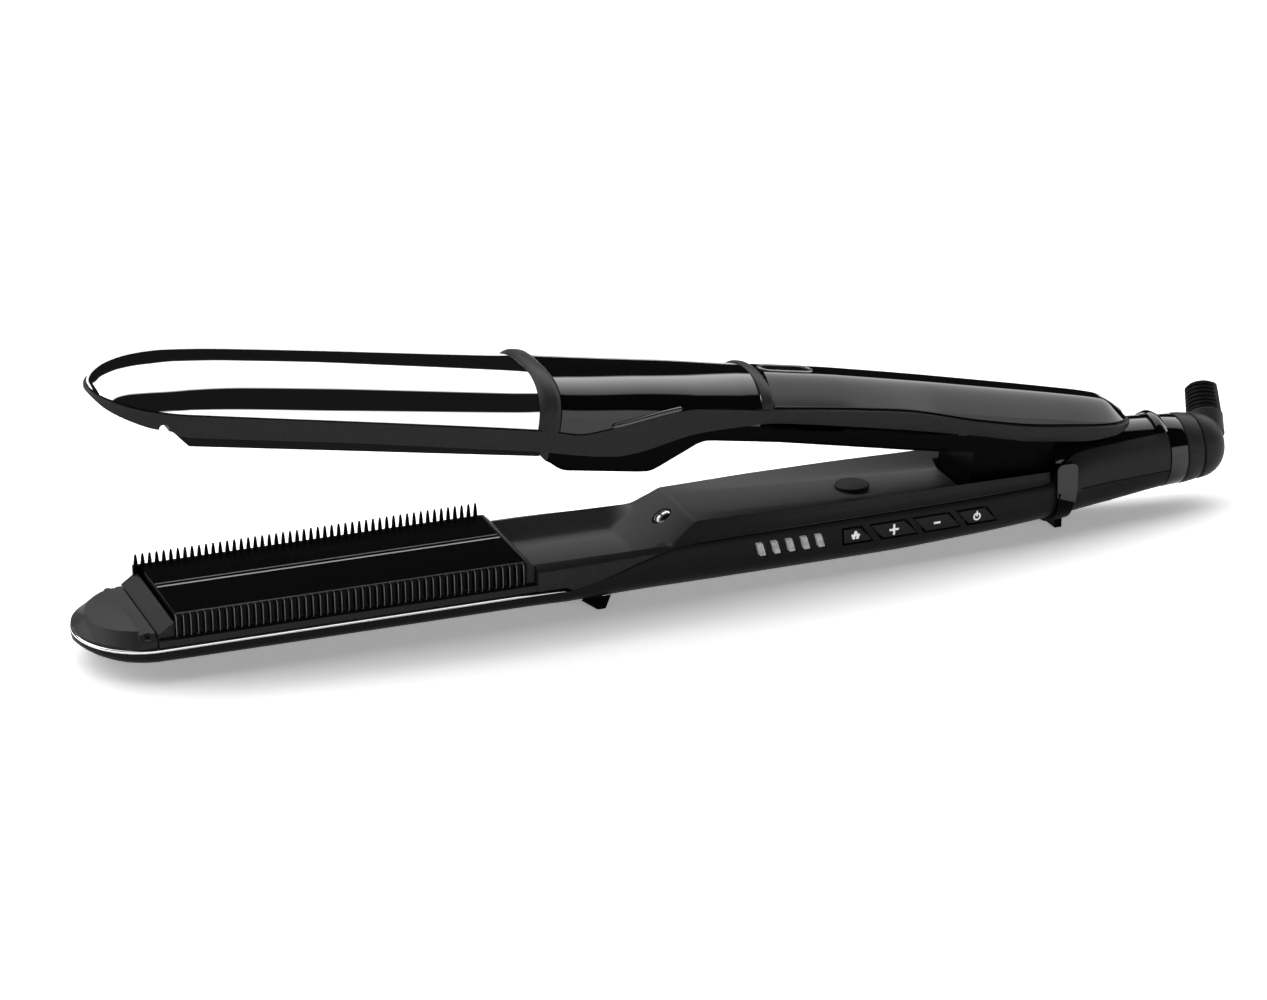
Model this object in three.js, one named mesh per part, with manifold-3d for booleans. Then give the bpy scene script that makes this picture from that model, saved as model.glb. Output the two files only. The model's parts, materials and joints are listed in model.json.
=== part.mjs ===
// Steam hair straightener with a clip-on comb, resting open on its two feet.
//
// Frame: millimetres, +Z up, +X towards the cord. The origin is the centre of the front foot's
// flat sole. Every piece is laid out around the arm hinge (HINGE), whose axis runs along Y.
// The upper arm is drawn closed, in the same coordinates as the lower arm, and its group is then
// turned about the hinge by OPENING.
import * as THREE from "three";
import { mergeVertices } from "three/addons/utils/BufferGeometryUtils.js";
import Module from "manifold-3d";

const wasm = await Module();
wasm.setup();

// ---------------------------------------------------------------- driving dimensions (mm)
const FOOT_X = -157; // front foot, along the arm from the hinge
const FLOOR_Z = -17.5; // floor below the hinge axis
const SOLE_LENGTH = 2.4;
const HINGE = new THREE.Vector3(-FOOT_X, 0, -FLOOR_Z);
const OPENING = THREE.MathUtils.degToRad(9.6);

const NOSE_TIP = -302.1;
const NOSE_LENGTH = 19.2;
const ARM_HALF_WIDTH = 20.3;
const RING_X = -177; // joint between the plate half and the handle half

const PLATE_FRONT = -278;
const PLATE_BACK = -179.6;
const PLATE_HALF_WIDTH = 17.5;
const UPPER_PLATE_HALF_WIDTH = 16.6;

const TOOTH_PITCH = 2;
const TOOTH_COUNT = 50;
const FIRST_TOOTH = -279.05;

const RIM_Z = -9.7; // top edge of the bottom shell along the plates
const TRIM_TOP = -8.7;
const NOSE_CAP_BACK = -287.8;
const DECK_END = -44;
const FRAME_END = -18.2; // the frame's side rails carry on past the deck to here
const RAMP_TOE = [-143.6, -6.8]; // [x, z] ends of the slope between neck and handle
const RAMP_TOP = [-127.6, 2.9];

const BARREL_END = 22;
const CORD_R = 10.4;
const CORD_Z = -2.1; // swivel axis of the cord
const PIN_R = 2;
const PIN_HOLE_R = 2.3;

const GAP = 0.3;
const WALL = 2;

const ARCH_POWER = 2 / 2.1; // squareness of the upper arm's arched sections

// ---------------------------------------------------------------- materials
const finish = (color, roughness, metalness = 0) => ({ color, roughness, metalness });
const MATTE = finish(0x2b2b2c, 0.55);
const DARK = finish(0x161616, 0.4);
const GLOSS = finish(0x0a0a0a, 0.08);
const CERAMIC = finish(0x0d0d0d, 0.22);
const CHROME = finish(0xe6e6e6, 0.05, 1);
const STEEL = finish(0x9a9a9a, 0.3, 1);
const RUBBER = finish(0x191919, 0.8);
const LAMP = finish(0xb9b9b9, 0.3);
const BOARD = finish(0x1f5a36, 0.6);
const MICA = finish(0xb08a5a, 0.7);
const CLEAR = finish(0xd8d8d8, 0.2);

// ---------------------------------------------------------------- curves
// A smooth curve through [x, value] points that never overshoots them.
function through(points) {
  const slope = points.slice(1).map((p, i) => (p[1] - points[i][1]) / (p[0] - points[i][0]));
  const tangent = points.map((_, i) => {
    if (i === 0) return slope[0];
    if (i === points.length - 1) return slope[i - 1];
    const product = slope[i - 1] * slope[i];
    return product <= 0 ? 0 : (2 * product) / (slope[i - 1] + slope[i]);
  });
  return (x) => {
    if (x <= points[0][0]) return points[0][1];
    if (x >= points.at(-1)[0]) return points.at(-1)[1];
    const i = points.findIndex((p) => p[0] >= x) - 1;
    const width = points[i + 1][0] - points[i][0];
    const t = (x - points[i][0]) / width;
    const ease = THREE.MathUtils.lerp(points[i][1], points[i + 1][1], t * t * (3 - 2 * t));
    return ease + width * t * (1 - t) * (tangent[i] * (1 - t) - tangent[i + 1] * t);
  };
}

// Straight lines through [x, value] points.
function straight(points) {
  return (x) => {
    const next = points.findIndex((p) => p[0] >= x);
    const i = next < 0 ? points.length - 1 : Math.max(next, 1);
    const t = (x - points[i - 1][0]) / (points[i][0] - points[i - 1][0]);
    return THREE.MathUtils.lerp(points[i - 1][1], points[i][1], THREE.MathUtils.clamp(t, 0, 1));
  };
}

// Half-width of a rounded nose at x: an ellipse from the tip, then full width.
function noseWidth(x, tip, length, full, power = 2) {
  const t = THREE.MathUtils.clamp((tip + length - x) / length, 0, 1);
  return full * (1 - t ** power) ** (1 / power);
}

const signedPower = (value, power) => Math.sign(value) * Math.abs(value) ** power;

// Stations from a to b, with extra ones crowded towards a rounded tip at a.
function stations(a, b, count, tipLength = 0, tipCount = 0) {
  const list = [];
  for (let i = 0; i < tipCount; i += 1) {
    list.push(a + tipLength * (1 - Math.cos((Math.PI / 2) * ((i + 0.35) / tipCount))));
  }
  const start = tipCount ? a + tipLength : a;
  for (let i = 0; i <= count; i += 1) list.push(start + ((b - start) * i) / count);
  return list;
}

// ---------------------------------------------------------------- solids
function toSolid(geometry) {
  const bare = geometry.clone();
  bare.deleteAttribute("normal");
  bare.deleteAttribute("uv");
  const merged = mergeVertices(bare, 1e-4);
  return new wasm.Manifold(new wasm.Mesh({
    numProp: 3,
    vertProperties: new Float32Array(merged.attributes.position.array),
    triVerts: new Uint32Array(merged.index.array),
  }));
}

function toGeometry(solid) {
  const mesh = solid.getMesh();
  const geometry = new THREE.BufferGeometry();
  const position = new THREE.BufferAttribute(new Float32Array(mesh.vertProperties), 3);
  geometry.setAttribute("position", position);
  geometry.setIndex(new THREE.BufferAttribute(new Uint32Array(mesh.triVerts), 1));
  return geometry;
}

const cut = (solid, ...tools) => tools.reduce((left, tool) => left.subtract(tool), solid);
const join = (...solids) => solids.reduce((all, solid) => all.add(solid));
const common = (a, b) => a.intersect(b);

// Skin closed loops of equal length, each an array of Vector3, into one solid. The two end loops
// are capped as seen in the plane of the two named coordinates.
function loft(loops, [u, v] = ["y", "z"]) {
  const flat = (loop) => loop.map((p) => new THREE.Vector2(p[u], p[v]));
  const turned = THREE.ShapeUtils.area(flat(loops[0])) < 0;
  const rings = turned ? loops.map((loop) => [...loop].reverse()) : loops;
  const count = rings[0].length;
  const index = [];
  for (let i = 0; i < rings.length - 1; i += 1) {
    for (let j = 0; j < count; j += 1) {
      const a = i * count + j;
      const b = i * count + ((j + 1) % count);
      index.push(a, b, b + count, a, b + count, a + count);
    }
  }
  const last = (rings.length - 1) * count;
  for (const [a, b, c] of THREE.ShapeUtils.triangulateShape(flat(rings[0]), [])) {
    index.push(c, b, a);
  }
  for (const [a, b, c] of THREE.ShapeUtils.triangulateShape(flat(rings.at(-1)), [])) {
    index.push(last + a, last + b, last + c);
  }
  const geometry = new THREE.BufferGeometry();
  const position = rings.flatMap((ring) => ring.flatMap((p) => [p.x, p.y, p.z]));
  geometry.setAttribute("position", new THREE.Float32BufferAttribute(position, 3));
  geometry.setIndex(index);
  return toSolid(geometry);
}

// Loft of loop(x) over the stations; a loop lists [y, z] pairs anticlockwise seen from +X.
function loftAlongX(xs, loop) {
  return loft(xs.map((x) => loop(x).map(([y, z]) => new THREE.Vector3(x, y, z))));
}

function box(x0, x1, y0, y1, z0, z1) {
  const geometry = new THREE.BoxGeometry(x1 - x0, y1 - y0, z1 - z0);
  geometry.translate((x0 + x1) / 2, (y0 + y1) / 2, (z0 + z1) / 2);
  return toSolid(geometry);
}

// Cylinder between two points; its start and end radii may differ.
function rod(start, end, radius, endRadius = radius, sides = 24) {
  const a = new THREE.Vector3(...start);
  const b = new THREE.Vector3(...end);
  const geometry = new THREE.CylinderGeometry(endRadius, radius, a.distanceTo(b), sides);
  const turn = new THREE.Quaternion().setFromUnitVectors(
    new THREE.Vector3(0, 1, 0), b.clone().sub(a).normalize());
  geometry.applyQuaternion(turn);
  const middle = a.add(b).multiplyScalar(0.5);
  geometry.translate(middle.x, middle.y, middle.z);
  return toSolid(geometry);
}

// Outline of [x, z] corners pushed along Y.
function prismY(corners, y0, y1) {
  const shape = new THREE.Shape(corners.map(([x, z]) => new THREE.Vector2(x, z)));
  const geometry = new THREE.ExtrudeGeometry(shape, { depth: y1 - y0, bevelEnabled: false });
  geometry.rotateX(Math.PI / 2);
  geometry.translate(0, y1, 0);
  return toSolid(geometry);
}

// Outline of [y, z] corners pushed along X.
function prismX(corners, x0, x1) {
  const shape = new THREE.Shape(corners.map(([y, z]) => new THREE.Vector2(y, z)));
  const geometry = new THREE.ExtrudeGeometry(shape, { depth: x1 - x0, bevelEnabled: false });
  geometry.rotateY(Math.PI / 2);
  geometry.rotateX(Math.PI / 2);
  geometry.translate(x0, 0, 0);
  return toSolid(geometry);
}

// Outline of [x, y] corners pushed along Z.
function prismZ(corners, z0, z1) {
  const shape = new THREE.Shape(corners.map(([x, y]) => new THREE.Vector2(x, y)));
  const geometry = new THREE.ExtrudeGeometry(shape, { depth: z1 - z0, bevelEnabled: false });
  geometry.translate(0, 0, z0);
  return toSolid(geometry);
}

// Coil spring standing on z0 at (x, y).
function coil(x, y, z0, z1, radius, wire, turns, sides = 6, stepsPerTurn = 10) {
  const points = [];
  const steps = turns * stepsPerTurn;
  for (let i = 0; i <= steps; i += 1) {
    const angle = (2 * Math.PI * i) / stepsPerTurn;
    const z = THREE.MathUtils.lerp(z0 + wire, z1 - wire, i / steps);
    points.push(new THREE.Vector3(x + radius * Math.cos(angle), y + radius * Math.sin(angle), z));
  }
  const section = new THREE.Shape();
  section.absarc(0, 0, wire, 0, 2 * Math.PI);
  return toSolid(new THREE.ExtrudeGeometry(section, {
    steps,
    curveSegments: sides / 2,
    extrudePath: new THREE.CatmullRomCurve3(points),
  }));
}

function piece(name, solid, look) {
  const material = new THREE.MeshStandardMaterial(look);
  const mesh = new THREE.Mesh(toGeometry(solid), material);
  mesh.name = name;
  return mesh;
}

// ---------------------------------------------------------------- lower arm: outer shape
const lowerHalfWidth = through([
  [-168, ARM_HALF_WIDTH], [-150, 19.6], [-127, 18.6], [-73, 18], [-45, 17.3], [-16, 15.2],
  [0, 12.6], [BARREL_END, 10.5],
]);
const lowerRimZ = through([
  [-168, RIM_Z], [-160, -8.6], [-145, -4.6], [-134, -2.4], [-73, -2], [-20, -1.7], [-14, -0.6],
  [-6, 2], [4, 3.7], [BARREL_END, 4.8],
]);
const lowerWideZ = through([
  [-168, RIM_Z - 0.2], [-140, -6], [-73, -5.5], [-16, -4], [BARREL_END, -1.9],
]);
const lowerBottomZ = through([
  [NOSE_TIP, RIM_Z - 1.2], [-297, -13], [-290, -14.6], [-280, -15.3], [-230, -15.4], [-179, -15.4],
  [-155, -16.4], [-113, -16.8], [-70, -16.8], [-45, -16], [-32, -15.6], [-16, -15], [0, -14.3],
  [BARREL_END, -12.6],
]);
const lowerSquareness = through([[-168, 2.6], [-120, 3], [-45, 2.9], [BARREL_END, 2]]);
const lowerRimInset = through([[-160, 0], [-127, 1], [-20, 1], [0, 1.7], [BARREL_END, 2.6]]);

// Bottom shell outline at x, shrunk by inset. The rim is flat, or raised by lift for a cutting tool.
function lowerLoop(x, inset = 0, lift = 0) {
  const width = x < NOSE_TIP + NOSE_LENGTH
    ? noseWidth(x, NOSE_TIP + inset, NOSE_LENGTH - inset, ARM_HALF_WIDTH - inset)
    : lowerHalfWidth(x) - inset;
  const rimWidth = width - lowerRimInset(x);
  const rim = lowerRimZ(x);
  const wide = Math.min(lowerWideZ(x), rim - 0.1);
  const depth = wide - lowerBottomZ(x) - inset;
  const power = 2 / lowerSquareness(x);
  const cheek = [THREE.MathUtils.lerp(width, rimWidth, 0.25), THREE.MathUtils.lerp(wide, rim, 0.55)];
  const loop = [cheek, [rimWidth, rim + lift], [-rimWidth, rim + lift], [-cheek[0], cheek[1]]];
  const arcs = 14;
  for (let i = 0; i <= arcs; i += 1) {
    const angle = (Math.PI * i) / arcs;
    loop.push([-width * signedPower(Math.cos(angle), power), wide - depth * Math.sin(angle) ** power]);
  }
  return loop;
}

const lowerStations = [
  ...stations(NOSE_TIP, -276, 1, NOSE_LENGTH, 6), -179, -168, -160, -150, -140, -127, -113,
  -90, -70, -57, -45, -32, -24, -16, -8, 0, 10, BARREL_END,
];

function lowerOuter() {
  return loftAlongX(lowerStations, (x) => lowerLoop(x));
}

function lowerCavity() {
  const skipped = [-150, -127, -90, -57, -24, -8, BARREL_END];
  const front = NOSE_TIP + WALL + 0.2;
  const xs = lowerStations.filter((x) => x > front && !skipped.includes(x));
  return loftAlongX([...xs, BARREL_END - WALL], (x) => lowerLoop(x, WALL, 6));
}

// ---------------------------------------------------------------- keys and lamps on the near side
const KEY_LOW = -8.75;
const KEY_HIGH = -4.55;
const KEY_LEAN = 4; // a leaning edge moves this far from its top to its bottom
const KEYS = [
  { name: "steam_key", left: -84.6, right: -79.6, upright: true },
  { name: "plus_key", left: -76.2, right: -65.8 },
  { name: "minus_key", left: -62.8, right: -52.3 },
  { name: "power_key", left: -49.2, right: -40.6 },
];
const LAMP_X = [0, 1, 2, 3, 4].map((i) => -109.6 + 4.47 * i);

// Leaning four-sided outline in XZ; left and right are where its edges meet the top.
function keyOutline(key, grow = 0) {
  const leftLow = key.left - grow + (key.upright ? 0.3 : KEY_LEAN);
  return [
    [leftLow, KEY_LOW - grow], [key.right + grow + KEY_LEAN, KEY_LOW - grow],
    [key.right + grow, KEY_HIGH + grow], [key.left - grow, KEY_HIGH + grow],
  ];
}

function lampOutline(x, grow = 0) {
  const half = 0.9 + grow;
  const lean = 0.6;
  return [
    [x - half + lean, KEY_LOW + 0.2 - grow], [x + half + lean, KEY_LOW + 0.2 - grow],
    [x + half - lean, KEY_HIGH - 0.2 + grow], [x - half - lean, KEY_HIGH - 0.2 + grow],
  ];
}

const KEY_BACK = -13.6; // the keys reach from here to the panel's skin
const PANEL_OUT = -20.5; // outside the panel, where the cutting shapes start
const PLUG_BORE_R = 6.8; // opening the cord swivel plugs into

function lowerHousing(outer) {
  const pockets = [
    ...KEYS.map((key) => prismY(keyOutline(key, 0.35), PANEL_OUT, KEY_BACK)),
    ...LAMP_X.map((x) => prismY(lampOutline(x, 0.3), PANEL_OUT, KEY_BACK)),
  ];
  return cut(
    outer,
    lowerCavity(),
    ...pockets,
    rod([BARREL_END - 4, 0, CORD_Z], [BARREL_END + 1, 0, CORD_Z], PLUG_BORE_R),
  );
}

// ---------------------------------------------------------------- lower arm: frame, comb, nose
const frameSideZ = straight([[-179, -1.6], [-160, -1.7], [-136, -2], [-100, -1.3], [-44, -1]]);
const deckZ = straight([
  [-146, RAMP_TOE[1]], RAMP_TOE, RAMP_TOP, [-120, 2.5], [-100, 1.5], [-74, 0.3],
  [DECK_END, -1.1],
]);
const deckEdgeZ = straight([
  RAMP_TOE, RAMP_TOP, [-100, 2.9], [-73, 2.7], [DECK_END, 2.5], [FRAME_END, 1.7],
]);
const deckHalfWidth = straight([
  [-160, 17], [-136, 16.7], [RAMP_TOP[0], 13.6], [-100, 14.8], [-73, 15.2], [DECK_END, 14.6],
  [FRAME_END, 13.1],
]);

// Section of the lower frame: a dished neck that climbs to the handle's hollowed deck.
function frameLoop(x) {
  const onNeck = x < RAMP_TOP[0];
  const width = lowerHalfWidth(x) - lowerRimInset(x) - 0.1;
  const low = x < -168 ? TRIM_TOP + GAP : lowerRimZ(x) + GAP;
  const side = Math.max(frameSideZ(x), low + 0.4);
  const deck = deckZ(x);
  const inner = deckHalfWidth(x);
  const edge = Math.max(side, deckEdgeZ(x));
  const thickness = x < -120 ? 3.2 : 1.8;
  const bottom = Math.max(Math.min(deck - thickness, 0.5), low - 6);
  const shoulder = onNeck ? Math.max(side - 0.9, low + 0.2) : side;
  const dish = onNeck ? 12 : 9;
  const sag = onNeck ? 0 : 0.25 * (edge - deck);
  const slope = [(inner + dish) / 2, (edge + deck) / 2 - sag];
  return [
    [width, low], [width, shoulder], [inner, edge], slope, [dish, deck],
    [-dish, deck], [-slope[0], slope[1]], [-inner, edge],
    [-width, shoulder], [-width, low], [-(width - 2.4), low], [-(width - 3.6), bottom],
    [width - 3.6, bottom], [width - 2.4, low],
  ];
}

// The deck screw is square to the ramp; distance is measured from the ramp's face along its normal.
const SCREW_X = -132.4;
const rampNormal = new THREE.Vector3(
  RAMP_TOE[1] - RAMP_TOP[1], 0, RAMP_TOP[0] - RAMP_TOE[0]).normalize();
const alongScrew = (distance) => (
  new THREE.Vector3(SCREW_X, 0, deckZ(SCREW_X)).addScaledVector(rampNormal, distance).toArray()
);

function deckScrew() {
  return join(
    rod(alongScrew(-1.5), alongScrew(-0.6), 2.7, 2.5, 20),
    rod(alongScrew(-0.7), alongScrew(0.05), 2.4, 1.5, 20),
    rod(alongScrew(-5), alongScrew(-1), 1.1, 1.1, 12),
  );
}

function lowerFrame() {
  const xs = [
    -176.5, -168.3, -160, -150, -146, RAMP_TOE[0], -140, -136, -132, RAMP_TOP[0], -120, -100,
    -73, DECK_END, -30, FRAME_END,
  ];
  const springWell = box(DECK_END, FRAME_END + 1, -11.5, 11.5, -12, 12);
  const tray = cut(
    box(-283.4, -176, -19.9, 19.9, TRIM_TOP + GAP, -6.6),
    box(-280, -181, -15.5, 15.5, -12, 0),
  );
  const screwHole = rod(alongScrew(2), alongScrew(-6), 1.5, 1.5, 12);
  const counterbore = rod(alongScrew(3), alongScrew(-1.7), 3.1);
  return cut(join(loftAlongX(xs, frameLoop), tray), springWell, screwHole, counterbore);
}

function chromeTrim() {
  const back = -168.5;
  const full = ARM_HALF_WIDTH + 0.1;
  const ring = (inset, x) => noseWidth(x, NOSE_TIP + inset, NOSE_LENGTH - inset, full - inset);
  const xs = stations(NOSE_TIP, back, 2, NOSE_LENGTH, 8);
  const outline = (inset, end) => {
    const list = [...xs.filter((x) => x > NOSE_TIP + inset + 0.05 && x < end), end];
    return [
      ...list.map((x) => [x, -ring(inset, x)]),
      ...list.reverse().map((x) => [x, ring(inset, x)]),
    ];
  };
  return cut(
    prismZ(outline(0, back), RIM_Z + GAP, TRIM_TOP),
    prismZ(outline(1.6, back + 8), -20, 0),
  );
}

function noseCap() {
  const low = TRIM_TOP + GAP;
  const dome = loftAlongX([...stations(NOSE_TIP + 0.3, -290, 1, 11, 5), NOSE_CAP_BACK], (x) => {
    const wide = noseWidth(x, NOSE_TIP + 0.2, NOSE_LENGTH, 20);
    const crease = Math.max(noseWidth(x, NOSE_TIP + 1.2, NOSE_LENGTH, 18.6), wide * 0.6);
    const rise = THREE.MathUtils.smoothstep(x, NOSE_TIP, -286);
    const edge = low + 0.8 + 3 * Math.min(1, rise * 1.6);
    const crown = edge + 0.3 + 2 * rise;
    const shoulder = (edge + crown * 2) / 3;
    return [
      [wide, low], [crease, edge], [crease * 0.5, shoulder], [0, crown],
      [-crease * 0.5, shoulder], [-crease, edge], [-wide, low],
    ];
  });
  const ledge = prismX([
    [-19.4, low], [19.4, low], [19.4, -6.6], [17.2, -4.9], [-17.2, -4.9], [-19.4, -6.6],
  ], NOSE_CAP_BACK - 0.5, -283.7);
  return join(dome, ledge);
}

function comb() {
  const back = PLATE_BACK + 0.4;
  const rails = [
    box(-280, back, 17.9, 19.2, -6.2, 0),
    box(-280, back, -18.5, -17.9, -6.2, 0),
    prismY([
      [-283.2, -6.2], [-278.6, -6.2], [-278.6, -2.3], [-279.2, -2.3], [-283.2, -5.1],
    ], -18.5, 19.2),
    prismY([
      [back, -6.2], [back + 2.4, -6.2], [back + 2.4, -1.7], [back + 0.7, 0], [back, 0],
    ], -18.5, 19.2),
  ];
  const teeth = Array.from({ length: TOOTH_COUNT }, (_, i) => {
    const x = FIRST_TOOTH + i * TOOTH_PITCH;
    const height = 3.3 + (0.8 * i) / (TOOTH_COUNT - 1);
    const rectangle = (half, y0, y1, z) => [
      new THREE.Vector3(x - half, y0, z), new THREE.Vector3(x + half, y0, z),
      new THREE.Vector3(x + half, y1, z), new THREE.Vector3(x - half, y1, z),
    ];
    return loft([rectangle(0.6, 18, 19.1, -0.5), rectangle(0.2, 18.2, 18.7, height)], ["x", "y"]);
  });
  const fins = Array.from({ length: TOOTH_COUNT }, (_, i) => {
    const x = FIRST_TOOTH + 0.6 + i * TOOTH_PITCH;
    return prismX([[-18.3, -6.2], [-18.3, 0], [-19.3, -0.2], [-19.7, -6.2]], x - 0.25, x + 0.25);
  });
  return join(...rails, ...teeth, ...fins);
}

function lowerPlate() {
  const slab = box(PLATE_FRONT, PLATE_BACK, -PLATE_HALF_WIDTH, PLATE_HALF_WIDTH, -2.6, 0);
  const rail = (y, r) => rod([PLATE_FRONT, y, -0.15], [PLATE_BACK, y, -0.15], r, r, 10);
  return join(slab, rail(3, 0.35), rail(1, 0.5));
}

// ---------------------------------------------------------------- lower arm: rear end
const barrelR = straight([[5, 10.9], [28, CORD_R]]);
const barrelZ = straight([[5, -0.9], [28, CORD_Z]]);

// Arc of the barrel at x above the height base, as [y, z] pairs.
function barrelArc(x, radius, base, sign = 1) {
  const arcs = 14;
  const reach = Math.acos((base - barrelZ(x)) / radius);
  return Array.from({ length: arcs + 1 }, (_, i) => {
    const angle = sign * (reach - (2 * reach * i) / arcs);
    return [radius * Math.sin(angle), barrelZ(x) + radius * Math.cos(angle)];
  });
}

function barrelCover() {
  const outerArc = (x) => barrelArc(x, barrelR(x), lowerRimZ(x) + GAP);
  const innerArc = (x) => barrelArc(x, barrelR(x) - WALL, -3);
  const outer = loftAlongX([-15, -10, -6, 0, 5, BARREL_END], outerArc);
  const inner = loftAlongX([-18, -6, 5, BARREL_END + 1], innerArc);
  const slot = box(-20, 8.5, -5.2, 5.2, 0, 14);
  return cut(outer, inner, slot);
}

// Two lugs stand up from the bottom shell and hold the hinge pin.
function hingeLugs() {
  const lug = (y0, y1) => prismY([[-4.5, -10.6], [4.5, -10.6], [3.6, 3.4], [-3.6, 3.4]], y0, y1);
  const bore = rod([0, -12, 0], [0, 12, 0], PIN_HOLE_R);
  return [lug(-7.4, -5.5), lug(5.5, 7.4)].map((solid) => solid.subtract(bore));
}

function lockRing() {
  const x0 = BARREL_END - 2.9;
  const x1 = BARREL_END + 0.1;
  const swell = (x) => 0.9 * Math.sin((Math.PI * (x - x0)) / (x1 - x0));
  return loftAlongX(stations(x0, x1, 5), (x) => [
    ...barrelArc(x, barrelR(x) + 0.75 + swell(x), lowerRimZ(x) + 0.6),
    ...barrelArc(x, barrelR(x) + GAP, lowerRimZ(x) + 0.6, -1),
  ]);
}

function tube(x0, x1, r0, r1, bore, centre = CORD_Z) {
  return cut(
    rod([x0, 0, centre], [x1, 0, centre], r0, r1, 28),
    rod([x0 - 1, 0, centre], [x1 + 1, 0, centre], bore, bore, 16),
  );
}

const BOOT_START = new THREE.Vector3(38.9, 0, 0.6);
const BOOT_DIRECTION = new THREE.Vector3(0.231, 0.717, 0.657).normalize();
const alongBoot = (distance) => BOOT_START.clone().addScaledVector(BOOT_DIRECTION, distance).toArray();

const BOOT_BASE = 6.7;
const RIB_PITCH = 1.3;
const RIB_COUNT = 7;
const BOOT_LENGTH = BOOT_BASE + RIB_COUNT * RIB_PITCH;

function swivelElbow() {
  const radius = through([[34, 9.6], [34.6, 9.8], [38, 9.2], [41, 7.3], [42.5, 4.9]]);
  const body = loftAlongX([34, 34.6, 38, 41, 42.5], (x) => (
    Array.from({ length: 22 }, (_, i) => {
      const angle = (2 * Math.PI * i) / 22;
      return [radius(x) * Math.cos(angle), CORD_Z + radius(x) * Math.sin(angle)];
    })
  ));
  const snout = rod(alongBoot(0), alongBoot(BOOT_BASE - 0.3), 5.3, 5.5, 20);
  const journal = rod([28, 0, CORD_Z], [36, 0, CORD_Z], 6.2, 6.2, 20);
  const socket = rod(alongBoot(BOOT_BASE - 0.3), alongBoot(BOOT_BASE + 12), 5.6, 5.6, 20);
  const bore = rod(alongBoot(1.2), alongBoot(BOOT_BASE + 2), 3.1, 3.1, 16);
  return cut(join(body, snout, journal), socket, bore);
}

function cordBoot() {
  const ribs = [];
  for (let i = 0; i < RIB_COUNT; i += 1) {
    const at = BOOT_BASE + i * RIB_PITCH;
    const r = 5.2 - 0.06 * i;
    ribs.push(rod(alongBoot(at), alongBoot(at + 0.8), r, r, 12));
    ribs.push(rod(alongBoot(at + 0.6), alongBoot(at + RIB_PITCH + 0.1), r - 0.5, r - 0.5, 12));
  }
  return cut(join(...ribs), rod(alongBoot(BOOT_BASE - 1), alongBoot(BOOT_BASE + 12), 2.6, 2.6, 12));
}

// A strap hugging the bottom shell, with a pad on each side and one leg across the bottom.
function sideFoot() {
  const hug = (inset) => loftAlongX([-19, -14, -10], (x) => lowerLoop(x, inset));
  const strap = common(cut(hug(-1.3), hug(-0.3)), box(-17.4, -10.9, -30, 30, -30, -2));
  const pad = (y0, y1) => prismY([
    [-17.4, -4], [-10.9, -4], [-10.9, 3.4], [-12.2, 4.7], [-16.1, 4.7], [-17.4, 3.4],
  ], y0, y1);
  const leg = cut(box(-14.2, -12, -9.3, 9.3, FLOOR_Z, -13), hug(-0.3));
  return join(strap, cut(join(pad(-16, -14.9), pad(14.9, 16)), hug(-0.3)), leg);
}

function wedgeFoot() {
  const half = SOLE_LENGTH / 2;
  const wedge = prismY([
    [FOOT_X - half - 6.5, -12.8], [FOOT_X - half, FLOOR_Z],
    [FOOT_X + half, FLOOR_Z], [FOOT_X + half + 1.9, -12.8],
  ], -17.6, 17.6);
  return cut(wedge, loftAlongX([-170, -150], (x) => lowerLoop(x, -GAP)));
}

// ---------------------------------------------------------------- upper arm: outer shape
const UPPER_TIP = -300.4;
const FRAME_TIP = -301.2;
const UPPER_NOSE_LENGTH = 22;
const TAIL_TIP = 9.3;
const TAIL_LENGTH = 26;
const TAIL_POWER = 2.4;
const upperHalfWidth = through([
  [-179, ARM_HALF_WIDTH], [-168, 20], [-150, 18.6], [-130, 16.9], [-110, 15.6], [-80, 15],
  [-40, 14.4], [-16, 13.2],
]);
const crestZ = through([
  [UPPER_TIP, 11.6], [-298, 13.8], [-293, 16.4], [-286, 18.4], [-276, 20], [-262, 20.8],
  [-230, 21.3], [-179, 21.6], [-170, 22], [-113, 22.2], [-91, 21.6], [-62, 20.6], [-43, 19.5],
  [-16, 17.7], [-1, 16.2], [TAIL_TIP, 14],
]);
const shellEdgeZ = through([
  [UPPER_TIP, 10.6], [-272, 10.3], [-179, 9.2], [-168, 8.2], [-158.5, 9.9], [-137.8, 15.1],
  [-133, 15.8], [-115, 15.6], [-82, 16.1], [-71, 16.1], [-42.6, 13.6], [-23.5, 12.6],
  [-9.5, 12.9], [TAIL_TIP, 13.2],
]);
const skirtZ = through([
  [FRAME_TIP, 9.4], [-298, 7.7], [-293, 6.5], [-286, 5.5], [-283, 5.5], [-280.6, 3.9],
  [-276, 3], [-179, 2.7], [-154, 0.9], [-150.7, 1.4], [-130.9, 7.3], [-116.2, 9.8], [-107, 11],
  [-71, 10.2], [-43, 8.8], [-24, 7.4], [-8, 8.8], [2, 11], [TAIL_TIP, 12.2],
]);

function upperWidth(x, inset = 0) {
  if (x < RING_X) {
    const length = UPPER_NOSE_LENGTH - inset;
    return noseWidth(x, UPPER_TIP + inset, length, ARM_HALF_WIDTH - inset);
  }
  const tail = noseWidth(-x, -TAIL_TIP + inset, TAIL_LENGTH - inset, 1, TAIL_POWER);
  return (upperHalfWidth(x) - inset) * tail;
}

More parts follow.
